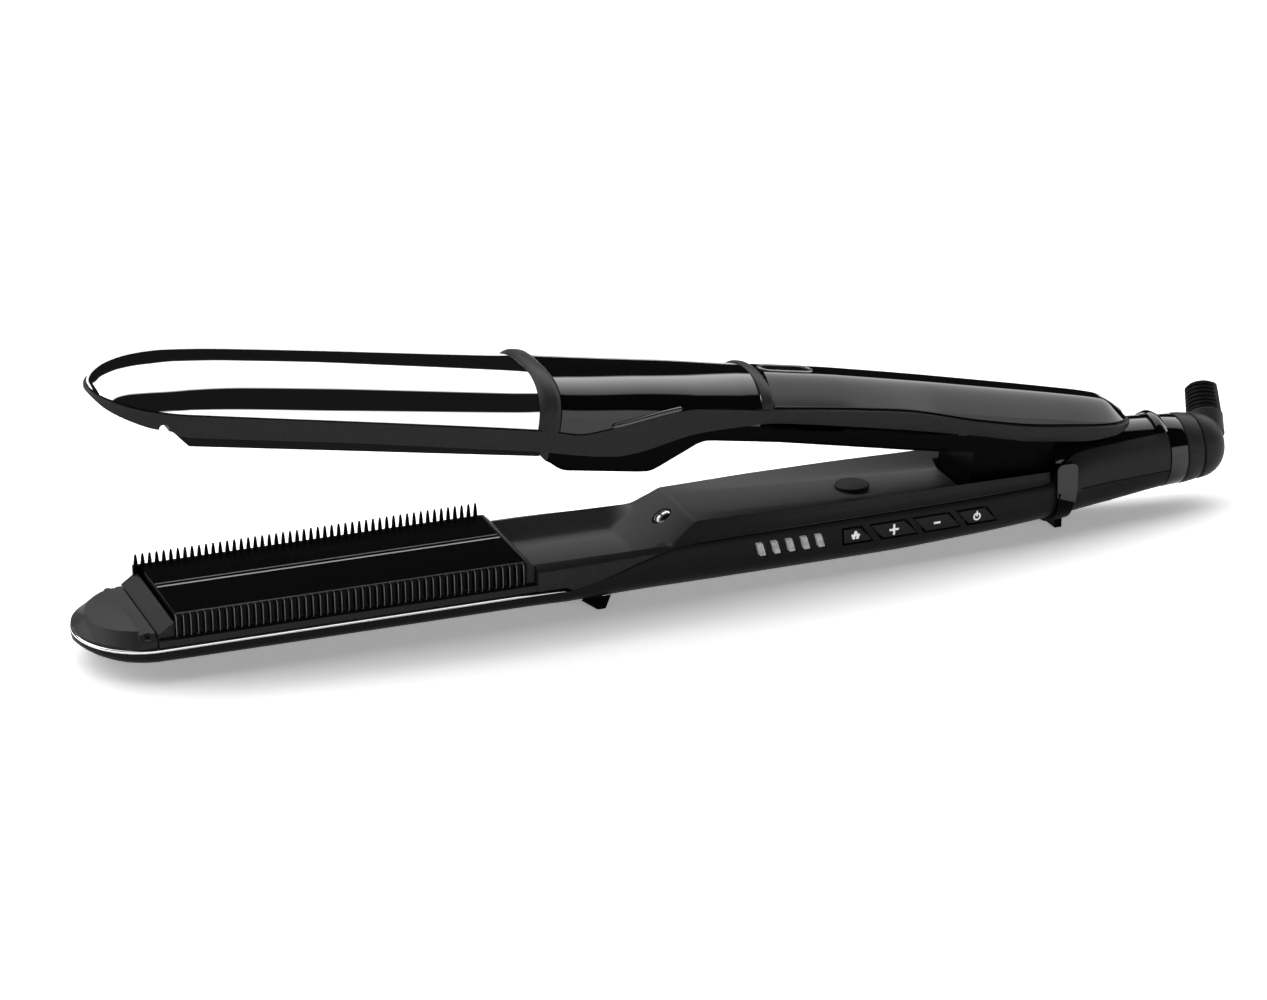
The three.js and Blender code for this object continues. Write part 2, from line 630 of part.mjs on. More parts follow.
// Squarish arc over the arm, from its far side to its near side, as [y, z] pairs.
function archArc(width, base, rise, arcs) {
  return Array.from({ length: arcs + 1 }, (_, i) => {
    const angle = (Math.PI * i) / arcs;
    return [
      width * signedPower(Math.cos(angle), ARCH_POWER),
      base + rise * Math.sin(angle) ** ARCH_POWER,
    ];
  });
}

// Arched outline at x, shrunk by inset, with a flat underside drop below its side edges.
function archLoop(x, inset, drop) {
  const width = upperWidth(x, inset);
  const base = shellEdgeZ(x);
  const arc = archArc(width, base, Math.max(crestZ(x) - inset - base, 0.4), 16);
  return [...arc, [-width, base - drop], [width, base - drop]];
}

function archShell(x0, x1, wall, tipLength = 0, count = 3, tipCount = 0) {
  const outerX = stations(x0, x1, count, tipLength, tipCount);
  const closed = tipLength > 0;
  const innerStart = closed ? x0 + wall : x0 - 0.5;
  const innerX = [...outerX.filter((x) => x > innerStart + 0.4 && x < x1), x1 + 0.5];
  if (!closed) innerX.unshift(x0 - 0.5);
  return cut(
    loftAlongX(outerX, (x) => archLoop(x, 0, 0.2)),
    loftAlongX(innerX, (x) => archLoop(x, wall, 3)),
  );
}

const GROOVE_Z = 5.2; // ceiling of the groove the upper plate floats in

// Side band of the upper arm: outer outline between the skirt and the shell edge.
function bandLoop(x, inset, top, bottom) {
  const length = UPPER_NOSE_LENGTH - inset;
  const fullWidth = x < RING_X
    ? noseWidth(x, FRAME_TIP + inset, length, ARM_HALF_WIDTH - inset)
    : upperWidth(x, inset);
  const width = Math.max(fullWidth, 0.3);
  return [[width, bottom], [width, top], [-width, top], [-width, bottom]];
}

const bandTop = (x) => shellEdgeZ(x) - 0.5;
const bandBottom = (x) => Math.min(skirtZ(x), shellEdgeZ(x) - 0.8);

function upperFrame() {
  const xs = [...stations(FRAME_TIP, -283, 1, 16, 7), -280.6, -276, -230, RING_X - 0.2];
  const outer = loftAlongX(xs, (x) => bandLoop(x, 0.1, bandTop(x), bandBottom(x)));
  const groove = box(-281.5, RING_X + 1, -19.4, 19.4, 0, GROOVE_Z);
  const window = box(-277, -181, -15, 15, 0, 12);
  const notch = rod([-284.5, -30, 5.8], [-284.5, 30, 5.8], 1.3, 1.3, 12);
  return cut(outer, groove, window, notch);
}

// Heating plate with a sloping lead-in at its front end.
function upperPlate() {
  const profile = [[-276.2, 0.2], [RING_X, 0.2], [RING_X, 3.2], [-280, 3.2]];
  return prismY(profile, -UPPER_PLATE_HALF_WIDTH, UPPER_PLATE_HALF_WIDTH);
}

const SPRING_X = [-258, -200];

function upperPlateBed() {
  const bed = box(-276.7, -181.3, -14.7, 14.7, 6, 9);
  return cut(bed, ...SPRING_X.map((x) => rod([x, 0, 5], [x, 0, 8.4], 3.6)));
}

function handleFrame() {
  const xs = [RING_X + 0.2, -168, -158, -150.7, -140, -130.9, -116, -107, -82, -57, -43, -30,
    -20, -12, -5, 0, 4, 6.5, 8, 9];
  const outer = loftAlongX(xs, (x) => bandLoop(x, 0.1, bandTop(x), bandBottom(x)));
  const inner = loftAlongX([RING_X - 1, ...xs.slice(1, -3)], (x) => bandLoop(x, 2.2, 30, -20));
  const tongue = prismY([
    [-14, 12], [-9, 4], [-4.6, -2], [-3, -4.2], [0, -5.2], [3, -4.2], [5, -1.5], [5, 3], [3, 8], [3, 12],
  ], -4.6, 4.6);
  const roof = box(-16, 3.4, -9, 9, 11, 12.1);
  const bridge = box(-50, -47, -13.6, 13.6, 9, 12);
  const bore = rod([0, -8, 0], [0, 8, 0], PIN_HOLE_R);
  return cut(join(outer.subtract(inner), roof, tongue, bridge), bore);
}

function innerHousing() {
  const bottom = straight([
    [-174, -1.6], [-169, -4.6], [-141, -4.8], [-138.4, -3.5], [-128.6, 3.1], [-125, 4.3],
    [-104, 4.3], [-64, 3], [-45, 2.6],
  ]);
  const width = straight([[-174, 15.5], [-141, 14], [-128, 12.5], [-104, 12], [-45, 11.4]]);
  const xs = [-174, -169, -155, -141, -138.4, -133, -128.6, -125, -104, -64, -51];
  const loop = (x, wall) => {
    const low = bottom(x) + wall;
    const high = wall ? 30 : Math.min(shellEdgeZ(x), 9.4) - 1;
    const half = width(x) - wall;
    const chamfer = 1.6;
    return [
      [half - chamfer, low], [half, low + chamfer], [half, high], [-half, high],
      [-half, low + chamfer], [-(half - chamfer), low],
    ];
  };
  const trough = cut(
    loftAlongX(xs, (x) => loop(x, 0)),
    loftAlongX([-172, ...xs.slice(2, -1), -53], (x) => loop(x, 1.5)),
  );
  return join(trough, springSkirt());
}

// Walls that drop round the opening spring and keep the gap between the arms shut.
function springSkirt() {
  const top = 10.4;
  const bottom = -9.6;
  const front = -42.2;
  const rear = -17;
  const wall = 1.2;
  const outer = prismY([
    [-52, 2.9], [front, 2.9], [front, bottom], [rear, bottom], [rear, top], [-46.6, top],
    [-46.6, 8.4], [-52, 8.4],
  ], -10.2, 10.2);
  const inner = prismY([
    [-53, 4.2], [front + wall, 4.2], [front + wall, bottom - 1], [rear - wall, bottom - 1],
    [rear - wall, top + 1], [-53, top + 1],
  ], -9, 9);
  return cut(outer, inner);
}

// Hoop over the arm from its side edges; lift stands it proud of the covers.
function hoop(x0, x1, lift, wall) {
  const arc = (x, out) => {
    const base = shellEdgeZ(x) - 0.1;
    return archArc(upperHalfWidth(x) + out, base, crestZ(x) + out - base, 18);
  };
  const rounding = straight([
    [x0, lift * 0.3], [x0 + 0.8, lift], [x1 - 0.8, lift], [x1, lift * 0.3],
  ]);
  return loftAlongX([x0, x0 + 0.8, x1 - 0.8, x1], (x) => (
    [...arc(x, rounding(x)), ...arc(x, -wall).reverse()]
  ));
}

const chromeShell = () => archShell(UPPER_TIP, RING_X - 3.5, 1.5, 22, 3, 7);
const midCover = () => archShell(RING_X + 3.3, -113.2, 1.5, 0, 11);

// ---------------------------------------------------------------- tank
const TANK_FRONT = -108.6;
const TANK_FLOOR = 12;

function tankOuter(inset, from) {
  const xs = [from, -100, -91, -82, -71, -57, -43, -30, -20, -12, -5, 0, 3.5, 5.8, 6.8]
    .filter((x) => x >= from && x <= 7 - inset);
  return loftAlongX(xs, (x) => {
    const width = Math.max(upperWidth(x, 1.4 + inset), 0.5);
    const edge = shellEdgeZ(x) + GAP;
    const floor = edge - (inset ? 6 : 0.25);
    const arc = archArc(width, edge, Math.max(crestZ(x) - inset - edge, 0.3), 14);
    return [...arc, [-width, floor], [width, floor]];
  });
}

function waterTank() {
  const skin = tankOuter(0, TANK_FRONT);
  const belly = cut(
    box(-92, -52, -11, 11, TANK_FLOOR, 18),
    box(-90.4, -53.6, -9.4, 9.4, TANK_FLOOR + 1.4, 30),
  );
  const hollow = common(tankOuter(1.6, TANK_FRONT + 1.6), box(-106, -18, -30, 30, TANK_FLOOR - 3, 40));
  const release = prismZ(ovalOutline(-100.6, 0, 8.9, 3.5), 15, 40);
  const neck = rod([-86, 0, 8], [-86, 0, 16], 2.6, 2.6, 16);
  return cut(join(skin.subtract(hollow), belly), release, neck);
}

function ovalOutline(x, y, halfLength, halfWidth) {
  const outline = [];
  const straightHalf = halfLength - halfWidth;
  const arcs = 8;
  for (let i = 0; i <= arcs; i += 1) {
    const angle = -Math.PI / 2 + (Math.PI * i) / arcs;
    outline.push([x + straightHalf + halfWidth * Math.cos(angle), y + halfWidth * Math.sin(angle)]);
  }
  for (let i = 0; i <= arcs; i += 1) {
    const angle = Math.PI / 2 + (Math.PI * i) / arcs;
    outline.push([x - straightHalf + halfWidth * Math.cos(angle), y + halfWidth * Math.sin(angle)]);
  }
  return outline;
}

function tankRelease() {
  const rim = prismZ(ovalOutline(-100.6, 0, 8.5, 3.1), 17.6, 22.2);
  const dip = prismZ(ovalOutline(-101.2, 0, 7, 1.9), 20.2, 30);
  return cut(rim, dip);
}

// ---------------------------------------------------------------- steam parts inside the upper arm
function tankSeat() {
  return cut(box(-90.5, -81.5, -5, 5, 6.8, 11.5), rod([-86, 0, 5], [-86, 0, 13], 1.6, 1.6, 12));
}

function waterTube() {
  return cut(
    rod([-145.6, 0, 8], [-124.4, 0, 8], 1.6, 1.6, 12),
    rod([-147, 0, 8], [-123, 0, 8], 0.9, 0.9, 8),
  );
}

// ---------------------------------------------------------------- assembly
const part = new THREE.Group();
const lowerArm = new THREE.Group();
lowerArm.position.copy(HINGE);
part.add(lowerArm);

const outerShape = lowerOuter();
const lugs = hingeLugs();

lowerArm.add(piece("lower_housing", join(lowerHousing(outerShape), ...lugs), MATTE));
lowerArm.add(piece("lower_frame", lowerFrame(), MATTE));
lowerArm.add(piece("chrome_trim", chromeTrim(), CHROME));
lowerArm.add(piece("nose_cap", noseCap(), MATTE));
lowerArm.add(piece("comb", comb(), DARK));
lowerArm.add(piece("lower_plate", lowerPlate(), CERAMIC));
lowerArm.add(piece("lower_heater", box(-274, -184, -12, 12, -4.2, -2.9), MICA));
lowerArm.add(piece("lower_plate_bed", box(-278.4, -181.4, -15.2, 15.2, -10, -4.5), DARK));
lowerArm.add(piece("deck_screw", deckScrew(), STEEL));
lowerArm.add(piece("bumper_pad", rod([-74.2, 0, 0.86], [-74.2, 0, 1.4], 5, 4.6, 20), RUBBER));
for (const key of KEYS) {
  const body = common(prismY(keyOutline(key), PANEL_OUT, KEY_BACK - 0.2), outerShape);
  lowerArm.add(piece(key.name, body, GLOSS));
}
LAMP_X.forEach((x, i) => {
  const body = common(prismY(lampOutline(x), PANEL_OUT, KEY_BACK - 0.2), outerShape);
  lowerArm.add(piece("level_lamp_" + (i + 1), body, LAMP));
});
lowerArm.add(piece("key_board", box(-114, -36, -12.8, -11.6, -10.4, -3.2), BOARD));
lowerArm.add(piece("main_board", box(-112, -50, -9, 12, -9.4, -8), BOARD));
lowerArm.add(piece("wedge_foot", wedgeFoot(), DARK));
lowerArm.add(piece("side_foot", sideFoot(), GLOSS));
lowerArm.add(piece("hinge_pin", rod([0, -7.9, 0], [0, 7.9, 0], PIN_R, PIN_R, 16), STEEL));
lowerArm.add(piece("opening_spring", coil(-29, 0, -12.6, 12.4, 4, 0.6, 6), STEEL));
lowerArm.add(piece("barrel_cover", barrelCover(), GLOSS));
lowerArm.add(piece("lock_ring", lockRing(), MATTE));
lowerArm.add(piece("rear_sleeve", tube(22.4, 27.9, CORD_R + 0.15, CORD_R, 6.8), GLOSS));
lowerArm.add(piece("cord_collar", tube(28.2, 33.6, CORD_R, 9.8, 6.6), MATTE));
lowerArm.add(piece("swivel_elbow", swivelElbow(), MATTE));
lowerArm.add(piece("cord_boot", cordBoot(), RUBBER));
lowerArm.add(piece("cord_stub", rod(alongBoot(1.6), alongBoot(BOOT_LENGTH), 2.3, 2.3, 14), RUBBER));

const upperArm = new THREE.Group();
upperArm.position.copy(HINGE);
upperArm.rotation.y = OPENING;
part.add(upperArm);

upperArm.add(piece("upper_frame", upperFrame(), MATTE));
upperArm.add(piece("chrome_shell", chromeShell(), CHROME));
upperArm.add(piece("front_ring", hoop(RING_X - 3.2, RING_X + 3, 1.3, 0.9), MATTE));
upperArm.add(piece("mid_cover", midCover(), GLOSS));
upperArm.add(piece("rear_band", hoop(-112.9, -109.4, 0.8, 0.9), MATTE));
upperArm.add(piece("handle_frame", handleFrame(), MATTE));
upperArm.add(piece("inner_housing", innerHousing(), DARK));
upperArm.add(piece("upper_plate", upperPlate(), CERAMIC));
upperArm.add(piece("upper_heater", box(-272, -186, -12, 12, 3.5, 4.6), MICA));
upperArm.add(piece("upper_plate_bed", upperPlateBed(), DARK));
SPRING_X.forEach((x, i) => {
  upperArm.add(piece("plate_spring_" + (i + 1), coil(x, 0, 4.9, 8.1, 2.6, 0.35, 3), STEEL));
});
upperArm.add(piece("steam_chamber", box(-165, -147, -9, 9, -1.6, 9.6), STEEL));
upperArm.add(piece("water_tube", waterTube(), CLEAR));
upperArm.add(piece("water_pump", box(-124, -109, -8, 8, 6.7, 12.4), CLEAR));
upperArm.add(piece("tank_seat", tankSeat(), DARK));
upperArm.add(piece("water_tank", waterTank(), GLOSS));
upperArm.add(piece("tank_plug", rod([-86, 0, 12.2], [-86, 0, 15], 2.2, 2.2, 14), RUBBER));
upperArm.add(piece("tank_release", tankRelease(), MATTE));

export default part;
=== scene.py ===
import json
import math

import bmesh
import bpy
from mathutils import Matrix, Vector


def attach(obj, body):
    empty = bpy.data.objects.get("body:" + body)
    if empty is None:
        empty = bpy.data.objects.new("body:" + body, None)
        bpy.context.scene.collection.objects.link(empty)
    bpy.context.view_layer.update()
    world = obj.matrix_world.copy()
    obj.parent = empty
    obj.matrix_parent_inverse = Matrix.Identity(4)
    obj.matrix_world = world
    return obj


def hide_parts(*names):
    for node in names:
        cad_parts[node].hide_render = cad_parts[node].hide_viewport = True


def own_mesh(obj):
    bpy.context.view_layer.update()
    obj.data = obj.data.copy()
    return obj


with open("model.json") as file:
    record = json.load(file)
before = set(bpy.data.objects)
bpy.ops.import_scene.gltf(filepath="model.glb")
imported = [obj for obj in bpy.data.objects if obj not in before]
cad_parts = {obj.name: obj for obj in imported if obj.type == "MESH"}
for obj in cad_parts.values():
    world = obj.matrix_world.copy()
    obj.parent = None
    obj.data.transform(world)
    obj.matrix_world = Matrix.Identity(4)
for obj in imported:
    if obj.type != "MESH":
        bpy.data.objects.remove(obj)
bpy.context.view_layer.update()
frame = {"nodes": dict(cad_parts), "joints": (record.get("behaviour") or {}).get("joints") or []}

# ---- shared frame
# Shapes are laid out in mm round the arm hinge, as in the CAD, and placed in metres at the end.
MM = 0.001
HINGE = Vector(next(j["pos_m"] for j in frame["joints"] if j["name"] == "arm_hinge")) / MM
OPENING = math.radians(9.6)
LOWER_ARM = Matrix.Scale(MM, 4) @ Matrix.Translation(HINGE)
UPPER_ARM = LOWER_ARM @ Matrix.Rotation(OPENING, 4, "Y")
UPPER_BODIES = ("upper_arm", "upper_plate", "tank", "tank_release")

# ---- driving dimensions
NOSE_TIP = -301.99
NOSE_LENGTH = 19.09
ARM_HALF_WIDTH = 20.3
RING_X = -177.0
PLATE_FRONT = -278.0
PLATE_BACK = -179.6
PLATE_HALF_WIDTH = 17.5
RIM_Z = -9.7
TRIM_TOP = -8.7
FLOOR_Z = -17.5
FOOT_X = -157.0
DECK_END = -44.0
FRAME_END = -18.2
RAMP_TOE = (-143.6, -6.8)
RAMP_TOP = (-127.6, 2.9)
BARREL_END = 22.0
CORD_Z = -2.1
GAP = 0.3


# ---- curves
def lerp(a, b, t):
    return a + (b - a) * t


def clamp(value, low=0.0, high=1.0):
    return min(max(value, low), high)


def smooth(value, low, high):
    t = clamp((value - low) / (high - low))
    return t * t * (3 - 2 * t)


def signed_power(value, power):
    return math.copysign(abs(value) ** power, value)


def through(points):
    """A smooth curve through (x, value) points that never overshoots them."""
    slopes = [(b[1] - a[1]) / (b[0] - a[0]) for a, b in zip(points, points[1:])]
    tangents = [slopes[0]]
    for left, right in zip(slopes, slopes[1:]):
        tangents.append(0.0 if left * right <= 0 else 2 * left * right / (left + right))
    tangents.append(slopes[-1])

    def curve(x):
        if x <= points[0][0]:
            return points[0][1]
        if x >= points[-1][0]:
            return points[-1][1]
        i = next(k for k, p in enumerate(points) if p[0] >= x) - 1
        width = points[i + 1][0] - points[i][0]
        t = (x - points[i][0]) / width
        ease = lerp(points[i][1], points[i + 1][1], t * t * (3 - 2 * t))
        return ease + width * t * (1 - t) * (tangents[i] * (1 - t) - tangents[i + 1] * t)

    return curve


def straight(points):
    """Straight lines through (x, value) points."""
    def curve(x):
        i = next((k for k, p in enumerate(points) if p[0] >= x), len(points) - 1)
        i = max(i, 1)
        t = (x - points[i - 1][0]) / (points[i][0] - points[i - 1][0])
        return lerp(points[i - 1][1], points[i][1], clamp(t))

    return curve


def rounded(points, radius):
    """Straight lines whose corners are smoothed over radius either way."""
    line = straight(points)
    offsets = [radius * (k / 6 - 1) for k in range(13)]
    return lambda x: sum(line(x + o) for o in offsets) / len(offsets)


def arm_of(body):
    return UPPER_ARM if body in UPPER_BODIES else LOWER_ARM


def circle(count):
    """Angles of count even steps round a circle."""
    return [2 * math.pi * k / count for k in range(count)]


def mirrored(half):
    """The other half of a (y, z) outline, in the order that closes the loop."""
    return [(-y, z) for y, z in reversed(half)]


def steps(a, b, count):
    return [lerp(a, b, i / count) for i in range(count + 1)]


def nose_steps(tip, length, count):
    """Stations crowded towards a rounded tip."""
    return [tip + length * (1 - math.cos(math.pi / 2 * (i + 0.15) / count)) for i in range(count)]


def nose_width(x, tip, length, full, power=2.0):
    t = clamp((tip + length - x) / length)
    return full * (1 - t ** power) ** (1 / power)


# ---- solids, as (points, faces) in mm
def loft(loops):
    """Skin closed loops of equal length and cap both ends."""
    count = len(loops[0])
    points = [p for loop in loops for p in loop]
    faces = [tuple(range(count)), tuple(range((len(loops) - 1) * count, len(loops) * count))]
    for i in range(len(loops) - 1):
        for j in range(count):
            a = i * count + j
            b = i * count + (j + 1) % count
            faces.append((a, b, b + count, a + count))
    return points, faces


def loft_x(xs, loop):
    return loft([[(x, y, z) for y, z in loop(x)] for x in xs])


def box(x0, x1, y0, y1, z0, z1):
    return loft([[(x, y0, z0), (x, y1, z0), (x, y1, z1), (x, y0, z1)] for x in (x0, x1)])


def prism_y(outline, y0, y1):
    return loft([[(x, y, z) for x, z in outline] for y in (y0, y1)])


def prism_z(outline, z0, z1):
    return loft([[(x, y, z) for x, y in outline] for z in (z0, z1)])


def across_axis(direction):
    """Unit vectors along an axis and across it both ways."""
    axis = Vector(direction).normalized()
    across = axis.orthogonal().normalized()
    return axis, across, axis.cross(across)


def turned(profile, origin, direction, sides=64):
    """Turn (distance, radius) points round an axis; an end of radius 0 closes to a point."""
    axis, across, up = across_axis(direction)
    loops = []
    for distance, radius in profile:
        centre = Vector(origin) + axis * distance
        r = max(radius, 0.001)
        loops.append([tuple(centre + across * (r * math.cos(a)) + up * (r * math.sin(a)))
                      for a in circle(sides)])
    return loft(loops)


def rod(a, b, radius, sides=48):
    line = Vector(b) - Vector(a)
    return turned([(0, radius), (line.length, radius)], a, line, sides)


def ring_solid(profile, origin, direction, sides=64):
    """Turn a closed (distance, radius) outline round an axis, leaving the bore open."""
    axis, across, up = across_axis(direction)
    count = len(profile)
    points = []
    for angle in circle(sides):
        out = across * math.cos(angle) + up * math.sin(angle)
        points += [tuple(Vector(origin) + axis * d + out * r) for d, r in profile]
    faces = []
    for k in range(sides):
        near, far = k * count, (k + 1) % sides * count
        for j in range(count):
            n = (j + 1) % count
            faces.append((near + j, near + n, far + n, far + j))
    return points, faces


def add(name, data):
    """New object in the scene."""
    obj = bpy.data.objects.new(name, data)
    bpy.context.scene.collection.objects.link(obj)
    return obj


def build(name, *shells):
    """Object made of one or more closed shells."""
    bm = bmesh.new()
    for points, faces in shells:
        made = [bm.verts.new(p) for p in points]
        for face in faces:
            bm.faces.new([made[i] for i in face])
        bmesh.ops.remove_doubles(bm, verts=made, dist=1e-3)
    bmesh.ops.recalc_face_normals(bm, faces=bm.faces)
    mesh = bpy.data.meshes.new(name)
    bm.to_mesh(mesh)
    bm.free()
    return add(name, mesh)


def carve(obj, tool, operation="DIFFERENCE"):
    """Exact boolean of obj with a tool given as shells or an object; the tool is used up."""
    if not isinstance(tool, bpy.types.Object):
        tool = build("tool", *tool)
    modifier = obj.modifiers.new("carve", "BOOLEAN")
    modifier.operation = operation
    modifier.solver = "EXACT"
    modifier.object = tool
    bpy.context.view_layer.update()
    graph = bpy.context.evaluated_depsgraph_get()
    mesh = bpy.data.meshes.new_from_object(obj.evaluated_get(graph))
    obj.modifiers.clear()
    worn = obj.data
    obj.data = mesh
    bpy.data.meshes.remove(worn)
    used = tool.data
    bpy.data.objects.remove(tool)
    bpy.data.meshes.remove(used)
    return obj


def place(obj, look, body="lower_arm", bevel=0.0, segments=3, sharp=32.0):
    """Put a finished solid in the shared frame and give it its body, finish and rounded edges.

    A piece called NODE_skin stands for the CAD node NODE.
    """
    obj.data.transform(arm_of(body))
    obj.data.materials.clear()
    obj.data.materials.append(look)
    for polygon in obj.data.polygons:
        polygon.use_smooth = True
        polygon.material_index = 0
    obj.data.set_sharp_from_angle(angle=math.radians(sharp))
    if bevel:
        edge = obj.modifiers.new("edge", "BEVEL")
        edge.width = bevel * MM
        edge.segments = segments
        edge.limit_method = "ANGLE"
        edge.angle_limit = math.radians(sharp + 4)
        edge.harden_normals = True
    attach(obj, body)
    if obj.name.endswith("_skin"):
        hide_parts(obj.name.removesuffix("_skin"))


def material(name, color, roughness, metallic=0.0, grain=1500.0, tint=0.12, bump=0.03,
             stretch=(1.0, 1.0, 1.0), emission=0.0, pattern="noise", specular=0.5):
    """Principled finish whose colour, roughness and surface all come from a 3-D texture."""
    made = bpy.data.materials.new(name)
    made.use_nodes = True
    nodes, links = made.node_tree.nodes, made.node_tree.links
    shader = nodes["Principled BSDF"]
    coordinate = nodes.new("ShaderNodeTexCoord")
    mapping = nodes.new("ShaderNodeMapping")
    mapping.inputs["Scale"].default_value = stretch
    links.new(coordinate.outputs["Object"], mapping.inputs["Vector"])
    if pattern == "cells":
        texture = nodes.new("ShaderNodeTexVoronoi")
        value = texture.outputs["Distance"]
    else:
        texture = nodes.new("ShaderNodeTexNoise")
        texture.inputs["Detail"].default_value = 3.0
        value = texture.outputs["Fac"]
    texture.inputs["Scale"].default_value = grain
    links.new(mapping.outputs["Vector"], texture.inputs["Vector"])
    ramp = nodes.new("ShaderNodeValToRGB")
    ramp.color_ramp.elements[0].color = (*[c * (1 - tint) for c in color], 1)
    ramp.color_ramp.elements[0].position = 0.3
    ramp.color_ramp.elements[1].color = (*[min(c * (1 + tint), 1) for c in color], 1)
    ramp.color_ramp.elements[1].position = 0.7
    links.new(value, ramp.inputs["Fac"])
    links.new(ramp.outputs["Color"], shader.inputs["Base Color"])
    spread = nodes.new("ShaderNodeMapRange")
    spread.inputs["To Min"].default_value = roughness * 0.9
    spread.inputs["To Max"].default_value = roughness * 1.1
    links.new(value, spread.inputs["Value"])
    links.new(spread.outputs["Result"], shader.inputs["Roughness"])
    shader.inputs["Metallic"].default_value = metallic
    shader.inputs["Specular IOR Level"].default_value = specular
    if bump:
        relief = nodes.new("ShaderNodeBump")
        relief.inputs["Strength"].default_value = bump
        relief.inputs["Distance"].default_value = 0.0002
        links.new(value, relief.inputs["Height"])
        links.new(relief.outputs["Normal"], shader.inputs["Normal"])
    if emission:
        links.new(ramp.outputs["Color"], shader.inputs["Emission Color"])
        shader.inputs["Emission Strength"].default_value = emission
    return made


def grey(value):
    return (value, value, value)


MATTE = material("matte_shell", grey(0.034), 0.42, bump=0.05, specular=0.14)
# A darker copy of the matte plastic, used as painted shade on the lower housing.
MATTE_PAINTED_SHADE = material("matte_shell_painted_shade", grey(0.012), 0.45, bump=0.05, specular=0.12)
# Near-black plastic with barely any reflection: dark plastic on the feet and hidden parts, and painted shade
# on the inner housing between the arms.
DARK_PLASTIC_AND_SHADE = material("dark_plastic", grey(0.0015), 0.4, specular=0.03)
COMB = material("comb_plastic", grey(0.002), 0.2, bump=0.01, specular=0.08)
# Light grey on the black plate's rails: a painted highlight.
RAIL_PAINTED_HIGHLIGHT = material("plate_rail_painted_highlight", grey(0.13), 0.3, bump=0.01, specular=0.8)
# Lighter gloss grey for thin edge beads: painted highlight on the comb fin edges, the plate's near edge and
# the tank release rim.
EDGE_HIGHLIGHT_PAINT = material("edge_painted_highlight", grey(0.12), 0.15, bump=0.01, specular=1.0)
GLOSS = material("gloss_plastic", grey(0.003), 0.05, bump=0.0, grain=400.0, specular=0.6)
BRIGHT = material("bright_gloss_plastic", grey(0.03), 0.1, bump=0.0, grain=400.0,
                  specular=1.0)
PANEL = material("key_plastic", grey(0.02), 0.4, bump=0.02, specular=0.16)
CHROME = material("chrome", grey(0.95), 0.03, metallic=1.0, tint=0.01, bump=0.0, grain=300.0)
CERAMIC = material("plate_coating", grey(0.002), 0.12, bump=0.008, pattern="cells", grain=3000.0,
                   specular=0.1)
STEEL = material("steel", grey(0.4), 0.22, metallic=1.0, stretch=(1, 1, 8), grain=2500.0)
RUBBER = material("rubber", grey(0.004), 0.55, bump=0.1, grain=2500.0, specular=0.14)
LAMP = material("lamp_lens", grey(0.32), 0.35, bump=0.02, grain=700.0, tint=0.3, emission=0.55)
WHITE = material("key_symbol", grey(0.8), 0.45, tint=0.05, emission=0.55)
BOARD = material("circuit_board", (0.02, 0.12, 0.05), 0.5, tint=0.4, grain=700.0)
MICA = material("heater_sheet", (0.42, 0.28, 0.14), 0.6, tint=0.3, grain=500.0)
PALE = material("pale_plastic", grey(0.6), 0.35, tint=0.06)


# ---- lower arm: outer shape
lower_half_width = through([
    (-168, ARM_HALF_WIDTH), (-150, 19.6), (-127, 18.6), (-73, 18), (-45, 17.3), (-16, 15.2),
    (0, 12.6), (BARREL_END, 10.5),
])
lower_rim_z = through([
    (-168, RIM_Z), (-160, -8.6), (-145, -4.6), (-134, -2.4), (-73, -2), (-19, -1.6), (-14, 2.2),
    (-8, 4.8), (1, 5.5), (9, 5.8), (BARREL_END, 6.1),
])
lower_wide_z = through([
    (-168, RIM_Z - 0.2), (-140, -6), (-73, -5.5), (-16, -4), (BARREL_END, -1.9),
])
lower_bottom_z = through([
    (NOSE_TIP, RIM_Z - 1.2), (-297, -13), (-290, -14.6), (-280, -15.3), (-230, -15.4), (-179, -15.4),
    (-155, -16.4), (-113, -16.8), (-70, -16.8), (-45, -16), (-32, -15.6), (-16, -15), (0, -14.3),
    (BARREL_END, -12.6),
])
lower_squareness = through([(-168, 2.6), (-120, 3), (-45, 2.9), (BARREL_END, 2)])
lower_rim_inset = through([
    (-160, 0), (-127, 1), (-20, 1), (-14, 3.2), (-8, 4.3), (1, 3.8), (BARREL_END, 3.4),
])


# How far the lower arm's flank turns in, from its widest line up to its rim.
CHEEK_ANGLE = math.radians(62)


def lower_loop(x, inset=0.0, lift=0.0, arcs=36, cheek_steps=6):
    if x < NOSE_TIP + NOSE_LENGTH:
        width = nose_width(x, NOSE_TIP + inset, NOSE_LENGTH - inset, ARM_HALF_WIDTH - inset)
    else:
        width = lower_half_width(x) - inset
    rim_width = width - lower_rim_inset(x)
    rim = lower_rim_z(x)
    wide = min(lower_wide_z(x), rim - 0.1)
    depth = wide - lower_bottom_z(x) - inset
    power = 2 / lower_squareness(x)
    cheek = []
    for i in range(1, cheek_steps):
        angle = CHEEK_ANGLE * i / cheek_steps
        cheek.append((lerp(width, rim_width, (1 - math.cos(angle)) / (1 - math.cos(CHEEK_ANGLE))),
                      lerp(wide, rim, math.sin(angle) / math.sin(CHEEK_ANGLE))))
    cheek.append((rim_width, rim + lift))
    loop = cheek + mirrored(cheek)
    for i in range(arcs + 1):
        angle = math.pi * i / arcs
        loop.append((-width * signed_power(math.cos(angle), power),
                     wide - depth * abs(math.sin(angle)) ** power))
    return loop


LOWER_XS = nose_steps(NOSE_TIP, NOSE_LENGTH, 16) + steps(NOSE_TIP + NOSE_LENGTH, -179, 14)
LOWER_XS += steps(-176, -20, 52) + steps(-18, BARREL_END, 20)


def lower_outer(inset=0.0):
    return loft_x(LOWER_XS, lambda x: lower_loop(x, inset))


